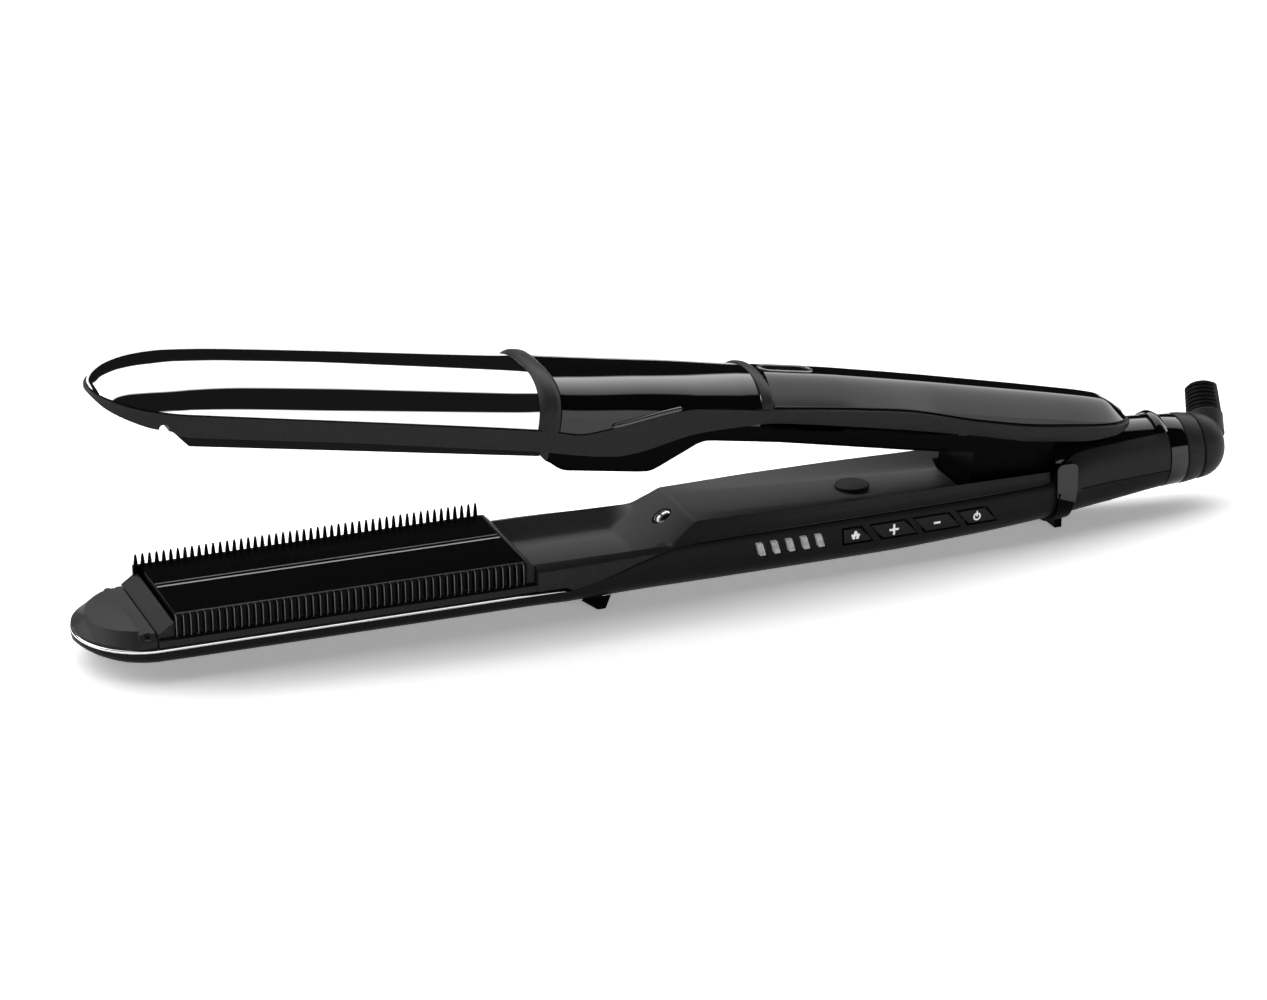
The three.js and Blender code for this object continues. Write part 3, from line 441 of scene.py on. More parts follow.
# ---- keys, symbols and lamps
KEY_LOW = -8.75
KEY_HIGH = -4.55
KEY_LEAN = 4.0
KEY_BACK = -13.6
PANEL_OUT = -20.5
KEYS = {
    "steam_key": (-84.6, -79.6, True),
    "plus_key": (-76.2, -65.8, False),
    "minus_key": (-62.8, -52.3, False),
    "power_key": (-49.2, -40.6, False),
}
LAMP_XS = [-109.6 + 4.47 * i for i in range(5)]
REAR_SEAM_Z = -4.5


def key_outline(left, right, upright, grow=0.0):
    low_left = left - grow + (0.3 if upright else KEY_LEAN)
    return [
        (low_left, KEY_LOW - grow), (right + grow + KEY_LEAN, KEY_LOW - grow),
        (right + grow, KEY_HIGH + grow), (left - grow, KEY_HIGH + grow),
    ]


def lamp_outline(x, grow=0.0):
    half = 0.9 + grow
    lean = 0.6
    low, high = KEY_LOW + 0.2 - grow, KEY_HIGH - 0.2 + grow
    return [(x - half + lean, low), (x + half + lean, low),
            (x + half - lean, high), (x - half - lean, high)]


def stroke(points, width):
    """Outline quads following a line of (x, z) points."""
    shells = []
    half = width / 2
    for (ax, az), (bx, bz) in zip(points, points[1:]):
        length = math.hypot(bx - ax, bz - az)
        tx, tz = (bx - ax) / length * half, (bz - az) / length * half
        corners = [(ax - tx - tz, az - tz + tx), (bx + tx - tz, bz + tz + tx),
                   (bx + tx + tz, bz + tz - tx), (ax - tx + tz, az - tz - tx)]
        shells.append(prism_y(corners, PANEL_OUT, KEY_BACK))
    return shells


def disc(x, z, radius, stretch=1.0, lean=0.0, sides=20):
    """Outline of a leaning oval spot."""
    outline = []
    for angle in circle(sides):
        u, v = radius * math.cos(angle), radius * stretch * math.sin(angle)
        outline.append((x + u * math.cos(lean) - v * math.sin(lean),
                        z + u * math.sin(lean) + v * math.cos(lean)))
    return prism_y(outline, PANEL_OUT, KEY_BACK)


def symbol_shells(name, x, z):
    if name == "plus_key":
        return stroke([(x - 1.15, z), (x + 1.15, z)], 0.62) + stroke([(x, z - 1.3), (x, z + 1.3)], 0.62)
    if name == "minus_key":
        return stroke([(x - 0.7, z), (x + 0.7, z)], 0.62)
    if name == "power_key":
        circle = []
        for k in range(25):
            angle = math.radians(118 + 304 * k / 24)
            circle.append((x + 0.95 * math.cos(angle), z - 0.15 + 0.95 * math.sin(angle)))
        return stroke(circle, 0.42) + stroke([(x, z + 0.1), (x, z + 1.35)], 0.42)
    puffs = [disc(x, z + 0.55, 0.55, 1.5)]
    for side in (-1, 1):
        puffs.append(disc(x + side * 0.75, z - 0.05, 0.42, 1.5, side * -0.9))
        puffs.append(disc(x + side * 0.6, z - 0.75, 0.34, 1.5, side * -1.3))
    return puffs


def build_lower_housing():
    housing = build("lower_housing_skin", lower_outer())
    cavity = [x for x in LOWER_XS if NOSE_TIP + 2.4 < x < BARREL_END - 2][::2] + [BARREL_END - 2]
    carve(housing, [loft_x(cavity, lambda x: lower_loop(x, 2.0, 6.0, 20, 3))])
    pockets = [prism_y(key_outline(*key, grow=0.6), PANEL_OUT, KEY_BACK) for key in KEYS.values()]
    pockets += [prism_y(lamp_outline(x, 0.45), PANEL_OUT, KEY_BACK) for x in LAMP_XS]
    carve(housing, pockets)
    carve(housing, [rod((BARREL_END - 4, 0, CORD_Z), (BARREL_END + 1, 0, CORD_Z), 6.8)])
    lug = [(-4.5, -12.4), (4.5, -12.4), (3.6, 3.4), (-3.6, 3.4)]
    lugs = build("lugs", prism_y(lug, -7.4, -5.5), prism_y(lug, 5.5, 7.4))
    carve(lugs, [rod((0, -12, 0), (0, 12, 0), 2.3)])
    carve(housing, lugs, "UNION")
    seam = build("seam", box(-8.6, BARREL_END + 1, -20, 20, REAR_SEAM_Z - 0.14, REAR_SEAM_Z + 0.14))
    carve(seam, [loft_x(steps(-12, BARREL_END + 3, 12), lambda x: lower_loop(x, 0.45, 6.0))])
    carve(housing, seam)
    # Painted shade and light: the housing takes the darker matte copy as painted shade. Its upper rear faces
    # above the seam take the lighter MATTE as painted light from above.
    place(housing, MATTE_PAINTED_SHADE, bevel=0.2)
    housing.data.materials.append(MATTE)
    rear = LOWER_ARM @ Vector((-12, 0, REAR_SEAM_Z))
    for polygon in housing.data.polygons:
        if polygon.center.x > rear.x and polygon.center.z > rear.z:
            polygon.material_index = 1


def build_keys():
    for name, key in KEYS.items():
        cap = build(name + "_skin", prism_y(key_outline(*key), PANEL_OUT, KEY_BACK - 0.2))
        carve(cap, [lower_outer()], "INTERSECT")
        place(cap, PANEL, name, bevel=0.25)
        left, right, upright = key
        centre = (left + right) / 2 + (1.2 if upright else KEY_LEAN / 2)
        shells = symbol_shells(name, centre, (KEY_LOW + KEY_HIGH) / 2)
        mark = build(name + "_symbol", shells[0])
        for shell in shells[1:]:
            carve(mark, [shell], "UNION")
        carve(mark, [lower_outer(-0.07)], "INTERSECT")
        place(mark, WHITE, name)
    for i, x in enumerate(LAMP_XS):
        name = "level_lamp_" + str(i + 1)
        bar = build(name + "_skin", prism_y(lamp_outline(x), PANEL_OUT, KEY_BACK - 0.2))
        carve(bar, [lower_outer()], "INTERSECT")
        place(bar, LAMP, bevel=0.15)


# ---- lower arm: frame, trim, nose
frame_side_z = rounded([(-179, -1.6), (-160, -1.7), (-136, -2), (-100, -1.3), (-44, -1)], 4)
deck_z = rounded([
    (-146, RAMP_TOE[1]), RAMP_TOE, RAMP_TOP, (-120, 2.5), (-100, 1.5), (-74, 0.3), (DECK_END, -1.1),
], 0.7)
deck_edge_z = rounded([
    RAMP_TOE, RAMP_TOP, (-100, 2.9), (-73, 2.7), (DECK_END, 2.5), (FRAME_END, 1.7),
], 0.9)
deck_half_width = rounded([
    (-160, 17), (-136, 16.7), (RAMP_TOP[0], 13.6), (-100, 14.8), (-73, 15.2), (DECK_END, 14.6),
    (FRAME_END, 13.1),
], 2.5)


def frame_loop(x):
    """Half of it mirrored: side wall, shoulder, hollow flank, deck, then the hidden underside."""
    width = lower_half_width(x) - lower_rim_inset(x) - 0.1
    seam = lerp(0.06, GAP, smooth(x, -134, -126))
    low = TRIM_TOP + GAP if x < -168 else lower_rim_z(x) + seam
    side = max(frame_side_z(x), low + 0.4)
    deck = deck_z(x)
    inner = deck_half_width(x)
    edge = max(side, deck_edge_z(x))
    neck = 1 - smooth(x, RAMP_TOP[0] - 4, RAMP_TOP[0] + 4)
    dish = lerp(7.5, 11.0, neck)
    shoulder = lerp(side, max(side - 0.9, low + 0.2), neck)
    depth = lerp(1.8, 3.2, 1 - smooth(x, -126, -114))
    bottom = max(min(deck - depth, 0.5), low - 6)
    right = [(width, low), (width, shoulder - 0.25), (width - 0.3, shoulder)]
    right += [(lerp(width - 0.3, inner, 0.5), lerp(shoulder, edge, 0.55)), (inner, edge)]
    for k in range(1, 9):
        t = k / 8
        y = (1 - t) ** 2 * inner + 2 * t * (1 - t) * (dish + 1.5) + t * t * dish
        z = (1 - t) ** 2 * edge + 2 * t * (1 - t) * deck + t * t * deck
        right.append((y, z))
    under = [(-(width - 2.4), low), (-(width - 3.6), bottom), (width - 3.6, bottom), (width - 2.4, low)]
    return right + mirrored(right) + under


SCREW_X = -132.4
ramp_normal = Vector((RAMP_TOE[1] - RAMP_TOP[1], 0, RAMP_TOP[0] - RAMP_TOE[0])).normalized()


def along_screw(distance):
    t = (SCREW_X - RAMP_TOE[0]) / (RAMP_TOP[0] - RAMP_TOE[0])
    foot = Vector((SCREW_X, 0, lerp(RAMP_TOE[1], RAMP_TOP[1], t)))
    return foot + ramp_normal * distance


def build_lower_frame():
    xs = [-176.5, -175] + steps(-172, -146, 14) + steps(-145.4, -124, 44) + steps(-122, DECK_END, 30)
    xs += steps(-42, FRAME_END, 10)
    body = build("lower_frame_skin", loft_x(xs, frame_loop))
    tray = build("tray", box(-283.4, -176, -19.9, 19.9, TRIM_TOP + GAP, -6.6))
    carve(tray, [box(-280, -181, -15.5, 15.5, -12, 0)])
    carve(body, tray, "UNION")
    carve(body, [box(DECK_END, FRAME_END + 1, -11.5, 11.5, -12, 12)])
    carve(body, [rod(along_screw(3), along_screw(-1.7), 3.1)])
    carve(body, [rod(along_screw(2), along_screw(-6), 1.5)])
    place(body, MATTE, bevel=0.2)
    head = build("deck_screw_skin", turned(
        [(-5, 1.1), (-1.6, 1.1), (-1.55, 2.9), (-0.6, 2.85), (-0.1, 2.6), (0.3, 2.15), (0.6, 1.6),
         (0.78, 0.9), (0.82, 0)],
        along_screw(0), ramp_normal, 40))
    cross = []
    for y, x in ((1.6, 0.28), (0.28, 1.6)):
        side = Vector((0, 1, 0))
        along = ramp_normal.cross(side)
        loop = [side * (a * y) + along * (b * x) for a, b in ((-1, -1), (1, -1), (1, 1), (-1, 1))]
        cross.append(loft([[tuple(along_screw(d) + p) for p in loop] for d in (-0.6, 2)]))
    for arm in cross:
        carve(head, [arm])
    place(head, STEEL, bevel=0.08)
    pad = build("bumper_pad_skin", turned(
        [(0.0, 5.0), (0.3, 5.0), (0.45, 4.8), (0.54, 4.3), (0.54, 0)], (-74.2, 0, 0.86), (0, 0, 1)))
    place(pad, RUBBER)


def build_trim():
    xs = nose_steps(NOSE_TIP, NOSE_LENGTH, 24) + steps(NOSE_TIP + NOSE_LENGTH, -168.5, 16)
    path = [(x, -nose_width(x, NOSE_TIP, NOSE_LENGTH, ARM_HALF_WIDTH + 0.1)) for x in reversed(xs)]
    path += [(NOSE_TIP, 0.0)] + [(x, -y) for x, y in reversed(path)]
    section = [(-1.6, 0.35), (-0.25, 0.5), (0.0, 0.3), (0.02, 0), (0.0, -0.3), (-0.25, -0.5),
               (-1.6, -0.35)]
    loops = []
    for i, (x, y) in enumerate(path):
        before, after = path[max(i - 1, 0)], path[min(i + 1, len(path) - 1)]
        out = Vector((before[1] - after[1], after[0] - before[0])).normalized()
        taper = smooth(-168.5 - x, 0, 14) * 0.9 + 0.1
        loops.append([(x + out.x * a, y + out.y * a, -9.08 - 0.35 * (1 - taper) + b * taper)
                      for a, b in section])
    trim = build("chrome_trim_skin", loft(loops))
    place(trim, CHROME, sharp=60)


NOSE_CAP_BACK = -287.8


def nose_cap_loop(x):
    """Low side wall, chamfer up to a crisp crease, then a nearly flat top."""
    low = TRIM_TOP + GAP
    wide = nose_width(x, NOSE_TIP + 0.2, NOSE_LENGTH, 20)
    crease = max(nose_width(x, NOSE_TIP + 4, NOSE_LENGTH - 3.5, 16.6), 0.05)
    edge = lerp(low + 0.7, -4.9, clamp((x - NOSE_TIP) / 4.2)) + 0.5 * smooth(x, NOSE_TIP + 4, -286)
    crown = edge + 0.45 * smooth(x, NOSE_TIP + 4, -290)
    half = [(wide, low), (wide - 0.1, low + 0.6), (crease, edge)]
    for t in (0.75, 0.5, 0.25):
        half.append((crease * t, lerp(crown, edge, t ** 2)))
    return half + [(0, crown)] + mirrored(half)


def build_nose_cap():
    xs = nose_steps(NOSE_TIP + 0.3, 11, 22) + steps(-290.8, NOSE_CAP_BACK, 6)
    low = TRIM_TOP + GAP
    cap = build("nose_cap_skin", loft_x(xs, nose_cap_loop))
    profile = [(-19.4, low), (19.4, low), (19.4, -6.6), (17.2, -4.9), (-17.2, -4.9), (-19.4, -6.6)]
    ledge = loft([[(x, y, z) for y, z in profile] for x in (NOSE_CAP_BACK - 0.5, -283.7)])
    carve(cap, [ledge], "UNION")
    for side in (-1, 1):
        y0, y1 = sorted((side * 16.6, side * 21))
        carve(cap, [box(-286.9, -285.2, y0, y1, -6.2, 0)])
    place(cap, MATTE, bevel=0.18, sharp=22)


# ---- comb and lower plate
TOOTH_COUNT = 50
TOOTH_PITCH = 2.0
FIN_EDGE = 0.16


def build_comb():
    back = PLATE_BACK + 0.4
    shells = [box(-280, back, 17.9, 19.2, -6.2, 0), box(-278.6, back, -18.5, -17.9, -6.2, -0.1)]
    taper = ((0, 0.72, 0.55), (0.35, 0.62, 0.5), (0.75, 0.44, 0.4), (0.93, 0.3, 0.3), (1, 0.1, 0.1))
    for i in range(TOOTH_COUNT):
        x = -279.05 + TOOTH_PITCH * i
        height = 3.3 + 0.8 * i / (TOOTH_COUNT - 1)
        shells.append(loft([
            [(x + rx * math.cos(a), 18.5 + ry * math.sin(a), lerp(-0.5, height, t))
             for a in circle(10)]
            for t, rx, ry in taper
        ]))
    comb = build("comb_skin", *shells)
    place(comb, COMB, bevel=0.12, segments=2)
    front = [(-283.2, -6.2), (-278.6, -6.2), (-278.6, -2.3), (-279.2, -2.3), (-283.2, -5.1)]
    rear = [(back, -6.2), (back + 2.4, -6.2), (back + 2.4, -1.7), (back + 0.7, 0), (back, 0)]
    ends = build("comb_ends", prism_y(front, -18.5, 19.2), prism_y(rear, -18.5, 19.2))
    place(ends, MATTE, bevel=0.2)


def build_comb_fins():
    """Guard fins in front of the plate, each a thin leaf with a rounded outer edge painted lighter as a
    painted highlight.
    """
    outline = [(-18.35, -0.05), (-18.9, 0.0), (-19.25, -0.25), (-19.42, -0.8), (-19.55, -3.0),
               (-19.62, -5.2), (-19.4, -5.9), (-18.6, -6.1)]
    fins = []
    edges = []
    for i in range(TOOTH_COUNT):
        x = -278.45 + TOOTH_PITCH * i
        fins.append(loft([[(at, y, z) for y, z in outline + [(-18.35, -6.1)]]
                          for at in (x - 0.15, x + 0.15)]))
        loops = []
        for k, (y, z) in enumerate(outline):
            before, after = outline[max(k - 1, 0)], outline[min(k + 1, len(outline) - 1)]
            out = Vector((before[1] - after[1], after[0] - before[0])).normalized() * FIN_EDGE
            loops.append([(x + FIN_EDGE * math.cos(a), y - out.x * math.sin(a), z - out.y * math.sin(a))
                          for a in circle(8)])
        edges.append(loft(loops))
    guard = build("comb_fins", *fins)
    place(guard, COMB)
    # The bead along each fin's outer edge is lighter grey: a painted highlight.
    bright = build("comb_fin_highlight_edges", *edges)
    place(bright, EDGE_HIGHLIGHT_PAINT)


def build_lower_plate():
    slab = build("lower_plate_skin", box(
        PLATE_FRONT, PLATE_BACK, -PLATE_HALF_WIDTH, PLATE_HALF_WIDTH, -2.6, 0))
    place(slab, CERAMIC, bevel=0.22)
    # The rails are ribs on the black plate, coloured light grey as a painted highlight.
    rails = []
    for y, wide in ((0.1, 1.5), (3.0, 0.6)):
        section = [(y, -0.4), (y + wide, 0.12), (y + wide + 0.3, 0.12), (y + wide + 0.5, -0.4)]
        rails.append(loft([[(x, *p) for p in section] for x in (PLATE_FRONT + 0.2, PLATE_BACK - 0.2)]))
    place(build("lower_plate_rails", *rails), RAIL_PAINTED_HIGHLIGHT, bevel=0.08)
    # The plate's near edge gets a thin rod in the lighter edge grey: a painted highlight.
    lip_z = -0.12
    lip = build("lower_plate_lip", rod(
        (PLATE_FRONT, -PLATE_HALF_WIDTH, lip_z), (PLATE_BACK, -PLATE_HALF_WIDTH, lip_z), 0.14, 16))
    place(lip, EDGE_HIGHLIGHT_PAINT)


# ---- feet
def build_feet():
    half = 1.2
    wedge = build("wedge_foot_skin", prism_y([
        (FOOT_X - half - 6.5, -12.8), (FOOT_X - half, FLOOR_Z), (FOOT_X + half, FLOOR_Z),
        (FOOT_X + half + 1.9, -12.8),
    ], -17.6, 17.6))
    carve(wedge, [loft_x(steps(-172, -150, 6), lambda x: lower_loop(x, -GAP))])
    place(wedge, DARK_PLASTIC_AND_SHADE, bevel=0.3)
    strap_xs = steps(-19, -9, 8)
    hug = loft_x(strap_xs, lambda x: lower_loop(x, -GAP, 8.0))
    strap = build("side_foot_skin", loft_x(strap_xs, lambda x: lower_loop(x, -1.2)))
    carve(strap, [box(-16.9, -11.4, -30, 30, -30, -4)], "INTERSECT")
    carve(strap, [box(-14.2, -12, -9.3, 9.3, FLOOR_Z, -13)], "UNION")
    carve(strap, [hug])
    place(strap, DARK_PLASTIC_AND_SHADE, bevel=0.25)
    pad = [(-17.2, -5.4), (-11.4, -7.4), (-10.9, -4)]
    for cx, start in ((-12.7, 0), (-15.6, 90)):
        corner = [math.radians(start + a) for a in (0, 22.5, 45, 67.5, 90)]
        pad += [(cx + 1.8 * math.cos(a), 2.9 + 1.8 * math.sin(a)) for a in corner]
    pads = build("side_foot_pads", prism_y(pad, -16.4, -14.9), prism_y(pad, 14.9, 16.4))
    carve(pads, [hug])
    place(pads, GLOSS, bevel=0.35)


# ---- lower arm: rear end
barrel_radius = straight([(5, 10.9), (28, 10.4)])
barrel_z = straight([(5, -0.9), (28, CORD_Z)])


def barrel_arc(x, radius, base, sign=1, arcs=40):
    reach = math.acos(clamp((base - barrel_z(x)) / radius, -1, 1))
    arc = []
    for i in range(arcs + 1):
        angle = sign * (reach - 2 * reach * i / arcs)
        arc.append((radius * math.sin(angle), barrel_z(x) + radius * math.cos(angle)))
    return arc


def build_barrel():
    cover = build("barrel_cover_skin", loft_x(
        steps(-15, BARREL_END, 24), lambda x: barrel_arc(x, barrel_radius(x), lower_rim_z(x) + GAP)))
    carve(cover, [loft_x(steps(-18, BARREL_END + 1, 8), lambda x: barrel_arc(x, barrel_radius(x) - 2, -3))])
    carve(cover, [box(-20, 8.5, -5.2, 5.2, 0, 14)])
    place(cover, GLOSS, bevel=0.25)
    x0, x1 = 19.1, 22.1

    def ring_loop(x):
        swell = 0.5 * math.sin(math.pi * (x - x0) / (x1 - x0))
        base = lower_rim_z(x) + 0.6
        outer = barrel_arc(x, barrel_radius(x) + 0.75 + swell, base)
        return outer + barrel_arc(x, barrel_radius(x) + GAP, base, -1)

    ring = build("lock_ring_skin", loft_x(steps(x0, x1, 12), ring_loop))
    place(ring, GLOSS, "lock_ring")
    sleeve = build("rear_sleeve_skin", ring_solid([
        (0, 6.8), (0, 10.3), (0.2, 10.52), (0.5, 10.55), (5.1, 10.42), (5.4, 10.3), (5.5, 10.1), (5.5, 6.8),
    ], (22.4, 0, CORD_Z), (1, 0, 0), 96))
    place(sleeve, GLOSS)
    collar = build("cord_collar_skin", ring_solid([
        (0, 6.6), (0, 10.1), (0.15, 10.33), (0.4, 10.4), (2.4, 10.25), (4.9, 9.87), (5.25, 9.75),
        (5.4, 9.5), (5.4, 6.6),
    ], (28.2, 0, CORD_Z), (1, 0, 0), 96))
    place(collar, MATTE)
    pin = build("hinge_pin_skin", turned(
        [(0, 1.8), (0.2, 2), (15.6, 2), (15.8, 1.8)], (0, -7.9, 0), (0, 1, 0)))
    place(pin, STEEL)


# ---- cord swivel
BOOT_START = Vector((38.9, 0.0, 0.6))
BOOT_DIRECTION = Vector((0.231, 0.717, 0.657)).normalized()
BOOT_BASE = 6.7
SPINE_SIDE = Vector((0.62, -0.62, 0.46))
RIB_PITCH = 1.3
RIB_COUNT = 7


def build_cord():
    elbow = build("swivel_elbow_skin", turned([
        (0, 9.2), (0.15, 9.55), (0.4, 9.75), (0.8, 9.8), (2.4, 9.6), (4, 9.2), (5.4, 8.5), (6.6, 7.65),
        (7.4, 6.8), (8.0, 5.9), (8.4, 5.0), (8.5, 0),
    ], (34, 0, CORD_Z), (1, 0, 0), 96))
    neck = [(0, 5.4), (1.5, 5.4), (BOOT_BASE - 0.6, 5.52), (BOOT_BASE - 0.35, 5.35), (BOOT_BASE - 0.3, 5.1)]
    carve(elbow, [turned(neck, BOOT_START, BOOT_DIRECTION)], "UNION")
    carve(elbow, [rod((28, 0, CORD_Z), (35, 0, CORD_Z), 6.2)], "UNION")
    bore = BOOT_START + BOOT_DIRECTION * 1.2
    carve(elbow, [rod(bore, BOOT_START + BOOT_DIRECTION * 9, 3.1)])
    place(elbow, MATTE, "cord_swivel", bevel=0.15)
    profile = [(BOOT_BASE, 2.6)]
    for i in range(RIB_COUNT):
        at = BOOT_BASE + i * RIB_PITCH
        r = 5.2 - 0.06 * i
        profile += [(at, r - 0.15), (at + 0.12, r), (at + 0.68, r), (at + 0.8, r - 0.15),
                    (at + 0.82, r - 0.5)]
        if i < RIB_COUNT - 1:
            profile.append((at + RIB_PITCH - 0.02, r - 0.5))
    end = BOOT_BASE + RIB_COUNT * RIB_PITCH
    profile += [(end - 0.1, 4.3), (end, 4.2), (end, 2.6)]
    boot = build("cord_boot_skin", ring_solid(profile, BOOT_START, BOOT_DIRECTION, 72))
    across = SPINE_SIDE.cross(BOOT_DIRECTION).normalized()
    spine = [(-1.3, 0.75), (1.3, 0.75), (1.3, 0.98), (0.6, 1.01), (-0.6, 1.01), (-1.3, 0.98)]
    for side in (-1, 1):
        facing = BOOT_DIRECTION.cross(across) * side
        bar = []
        for distance, reach in ((BOOT_BASE, 5.15), (end - 0.3, 4.75)):
            centre = BOOT_START + BOOT_DIRECTION * distance
            bar.append([tuple(centre + across * a + facing * (reach * b)) for a, b in spine])
        carve(boot, [loft(bar)], "UNION")
    place(boot, RUBBER, "cord_swivel")
    cord = build("cord_stub_skin", rod(
        BOOT_START + BOOT_DIRECTION * 1.6, BOOT_START + BOOT_DIRECTION * end, 2.3))
    place(cord, RUBBER, "cord_swivel", bevel=0.2)


# ---- upper arm: outer shape
UPPER_TIP = -300.4
FRAME_TIP = -301.2
NOSE_RADIUS = 22.0
TAIL_TIP = 9.3
TAIL_LENGTH = 26.0
upper_half_width = through([
    (-179, ARM_HALF_WIDTH), (-168, 20), (-150, 18.6), (-130, 16.9), (-110, 15.6), (-80, 15), (-40, 14.4),
    (-16, 13.2),
])
crest_z = through([
    (UPPER_TIP, 11.6), (-298, 13.8), (-293, 16.4), (-286, 18.4), (-276, 20), (-262, 20.8), (-230, 21.3),
    (-182, 21.4), (-171, 21), (-145, 21.5), (-113, 22.2), (-91, 21.6), (-62, 20.6), (-43, 19.7),
    (-16, 18.3), (-1, 17.2), (9.3, 14.6),
])
shell_edge_z = through([
    (UPPER_TIP, 10.6), (-272, 10.3), (-179, 9.2), (-168, 8.2), (-158.5, 9.9), (-137.8, 15.1),
    (-133, 15.8), (-115, 15.6), (-82, 16.1), (-71, 16.1), (-42.6, 13.6), (-23.5, 12.6), (-9.5, 12.9),
    (9.3, 13.2),
])
skirt_z = through([
    (FRAME_TIP, 9.4), (-298, 7.7), (-293, 6.5), (-286, 5.5), (-283, 5.5), (-280.6, 4.3), (-276, 3.9),
    (-182, 3.6), (-176, 2.6), (-156, 1.6), (-150.7, 2.4), (-130.9, 8.4), (-116.2, 10.4), (-107, 11),
    (-71, 10.2), (-43, 8.8), (-24, 7.4), (-8, 7.8), (2, 9.4), (6, 10.9), (9.3, 12.2),
])


def upper_width(x, inset=0.0):
    if x < RING_X:
        return nose_width(x, UPPER_TIP + inset, NOSE_RADIUS - inset, ARM_HALF_WIDTH - inset)
    tail = nose_width(-x, -TAIL_TIP + inset, TAIL_LENGTH - inset, 1, 3.0)
    return (upper_half_width(x) - inset) * tail


section_power = through([(-240, 2.1), (-185, 2.35), (-172, 2.9), (-145, 2.7), (-118, 2.1)])
full_base_z = through([
    (-300, 8.4), (-240, 8.8), (-185, 9.2), (-168, 8.2), (-150, 8.6), (-109, 10.2),
])


def arch(x, inset=0.0, arcs=56):
    """Arc over the arm at x from one side edge to the other, as (y, z).

    full_base_z is where the sides would stand upright: below the side edge it trims the arc.
    """
    edge = shell_edge_z(x)
    base = min(full_base_z(x), edge)
    power = 2 / section_power(x)
    width = max(upper_width(x, inset), 0.02)
    rise = max(crest_z(x) - inset - base, 0.05)
    start = math.asin(clamp((edge - base) / rise) ** (1 / power))
    full_width = width / math.cos(start) ** power
    arc = []
    for i in range(arcs + 1):
        angle = lerp(start, math.pi - start, i / arcs)
        arc.append((full_width * signed_power(math.cos(angle), power),
                    base + rise * abs(math.sin(angle)) ** power))
    return arc


def shell_loop(x, wall=1.5):
    return arch(x) + list(reversed(arch(x, wall)))


def hoop(x0, x1, lift, wall, count=20):
    """Hoop standing lift proud of the covers, its outside rounded front to back."""
    def loop(x):
        t = (x - x0) / (x1 - x0)
        out = lift * (1 - abs(2 * t - 1) ** 3.5) + 0.02
        base = shell_edge_z(x) - 0.1
        power = 2 / section_power(x)
        outer = []
        inner = []
        for i in range(57):
            angle = math.pi * i / 56
            c, s = signed_power(math.cos(angle), power), abs(math.sin(angle)) ** power
            outer.append(((upper_half_width(x) + out) * c, base + (crest_z(x) + out - base) * s))
            inner.append(((upper_half_width(x) - wall) * c, base + (crest_z(x) - wall - base) * s))
        return outer + list(reversed(inner))

    return loft_x(steps(x0, x1, count), loop)


def band_loop(x, inset, top, bottom):
    if x < RING_X:
        width = nose_width(x, FRAME_TIP + inset, NOSE_RADIUS - inset, ARM_HALF_WIDTH - inset)
    else:
        width = upper_width(x, inset)
    width = max(width, 0.3)
    lean = 1.3 * smooth(x, -124, -104) * smooth(TAIL_TIP - x, 0, 14)
    crease = lerp(bottom, top, 0.56)
    half = [(max(width - lean, 0.2), bottom), (width, crease), (width, top)]
    return half + mirrored(half)


def side_band(x):
    return band_loop(x, 0.1, shell_edge_z(x) - 0.5, min(skirt_z(x), shell_edge_z(x) - 0.8))


def build_plate_half():
    xs = nose_steps(UPPER_TIP, NOSE_RADIUS, 30) + steps(UPPER_TIP + NOSE_RADIUS, RING_X - 3.3, 30)
    shell = build("chrome_shell_skin", loft_x(xs, shell_loop))
    place(shell, CHROME, "upper_arm")
    xs = nose_steps(FRAME_TIP, 20, 22) + steps(FRAME_TIP + 20, -272, 16) + [-250, -230, RING_X]
    body = build("upper_frame_skin", loft_x(xs, side_band))
    carve(body, [box(-281.5, RING_X + 1, -19.4, 19.4, 0, 5.2)])
    carve(body, [box(-277, -181, -15, 15, 0, 12)])
    carve(body, [rod((-284.5, -30, 5.8), (-284.5, 30, 5.8), 1.3)])
    place(body, MATTE, "upper_arm", bevel=0.25)
    plate = build("upper_plate_skin", prism_y(
        [(-276.2, 0.2), (RING_X, 0.2), (RING_X, 3.2), (-280, 3.2)], -16.6, 16.6))
    place(plate, CERAMIC, "upper_plate", bevel=0.35)


def build_rings():
    front = build("front_ring_skin", hoop(RING_X - 3.2, RING_X + 3, 1.3, 0.9))
    place(front, MATTE, "upper_arm")
    rear = build("rear_band_skin", hoop(-112.9, -109.6, 0.45, 0.9))
    place(rear, MATTE, "upper_arm")


def build_mid_cover():
    cover = build("mid_cover_skin", loft_x(steps(RING_X + 3.3, -112.95, 64), shell_loop))
    place(cover, GLOSS, "upper_arm")
    beads = []
    for side in (-1, 1):
        loops = []
        for x in steps(-158.6, -137.6, 30):
            end = min(x + 158.6, -137.6 - x)
            radius = 0.75 * clamp(end / 0.8) ** 0.5 + 0.02
            y, z = side * (upper_width(x) + 0.1), shell_edge_z(x) + 0.45
            loops.append([(x, y + radius * math.cos(a), z + radius * math.sin(a))
                          for a in circle(12)])
        beads.append(loft(loops))
    bead = build("mid_cover_beads", *beads)
    place(bead, BRIGHT, "upper_arm")


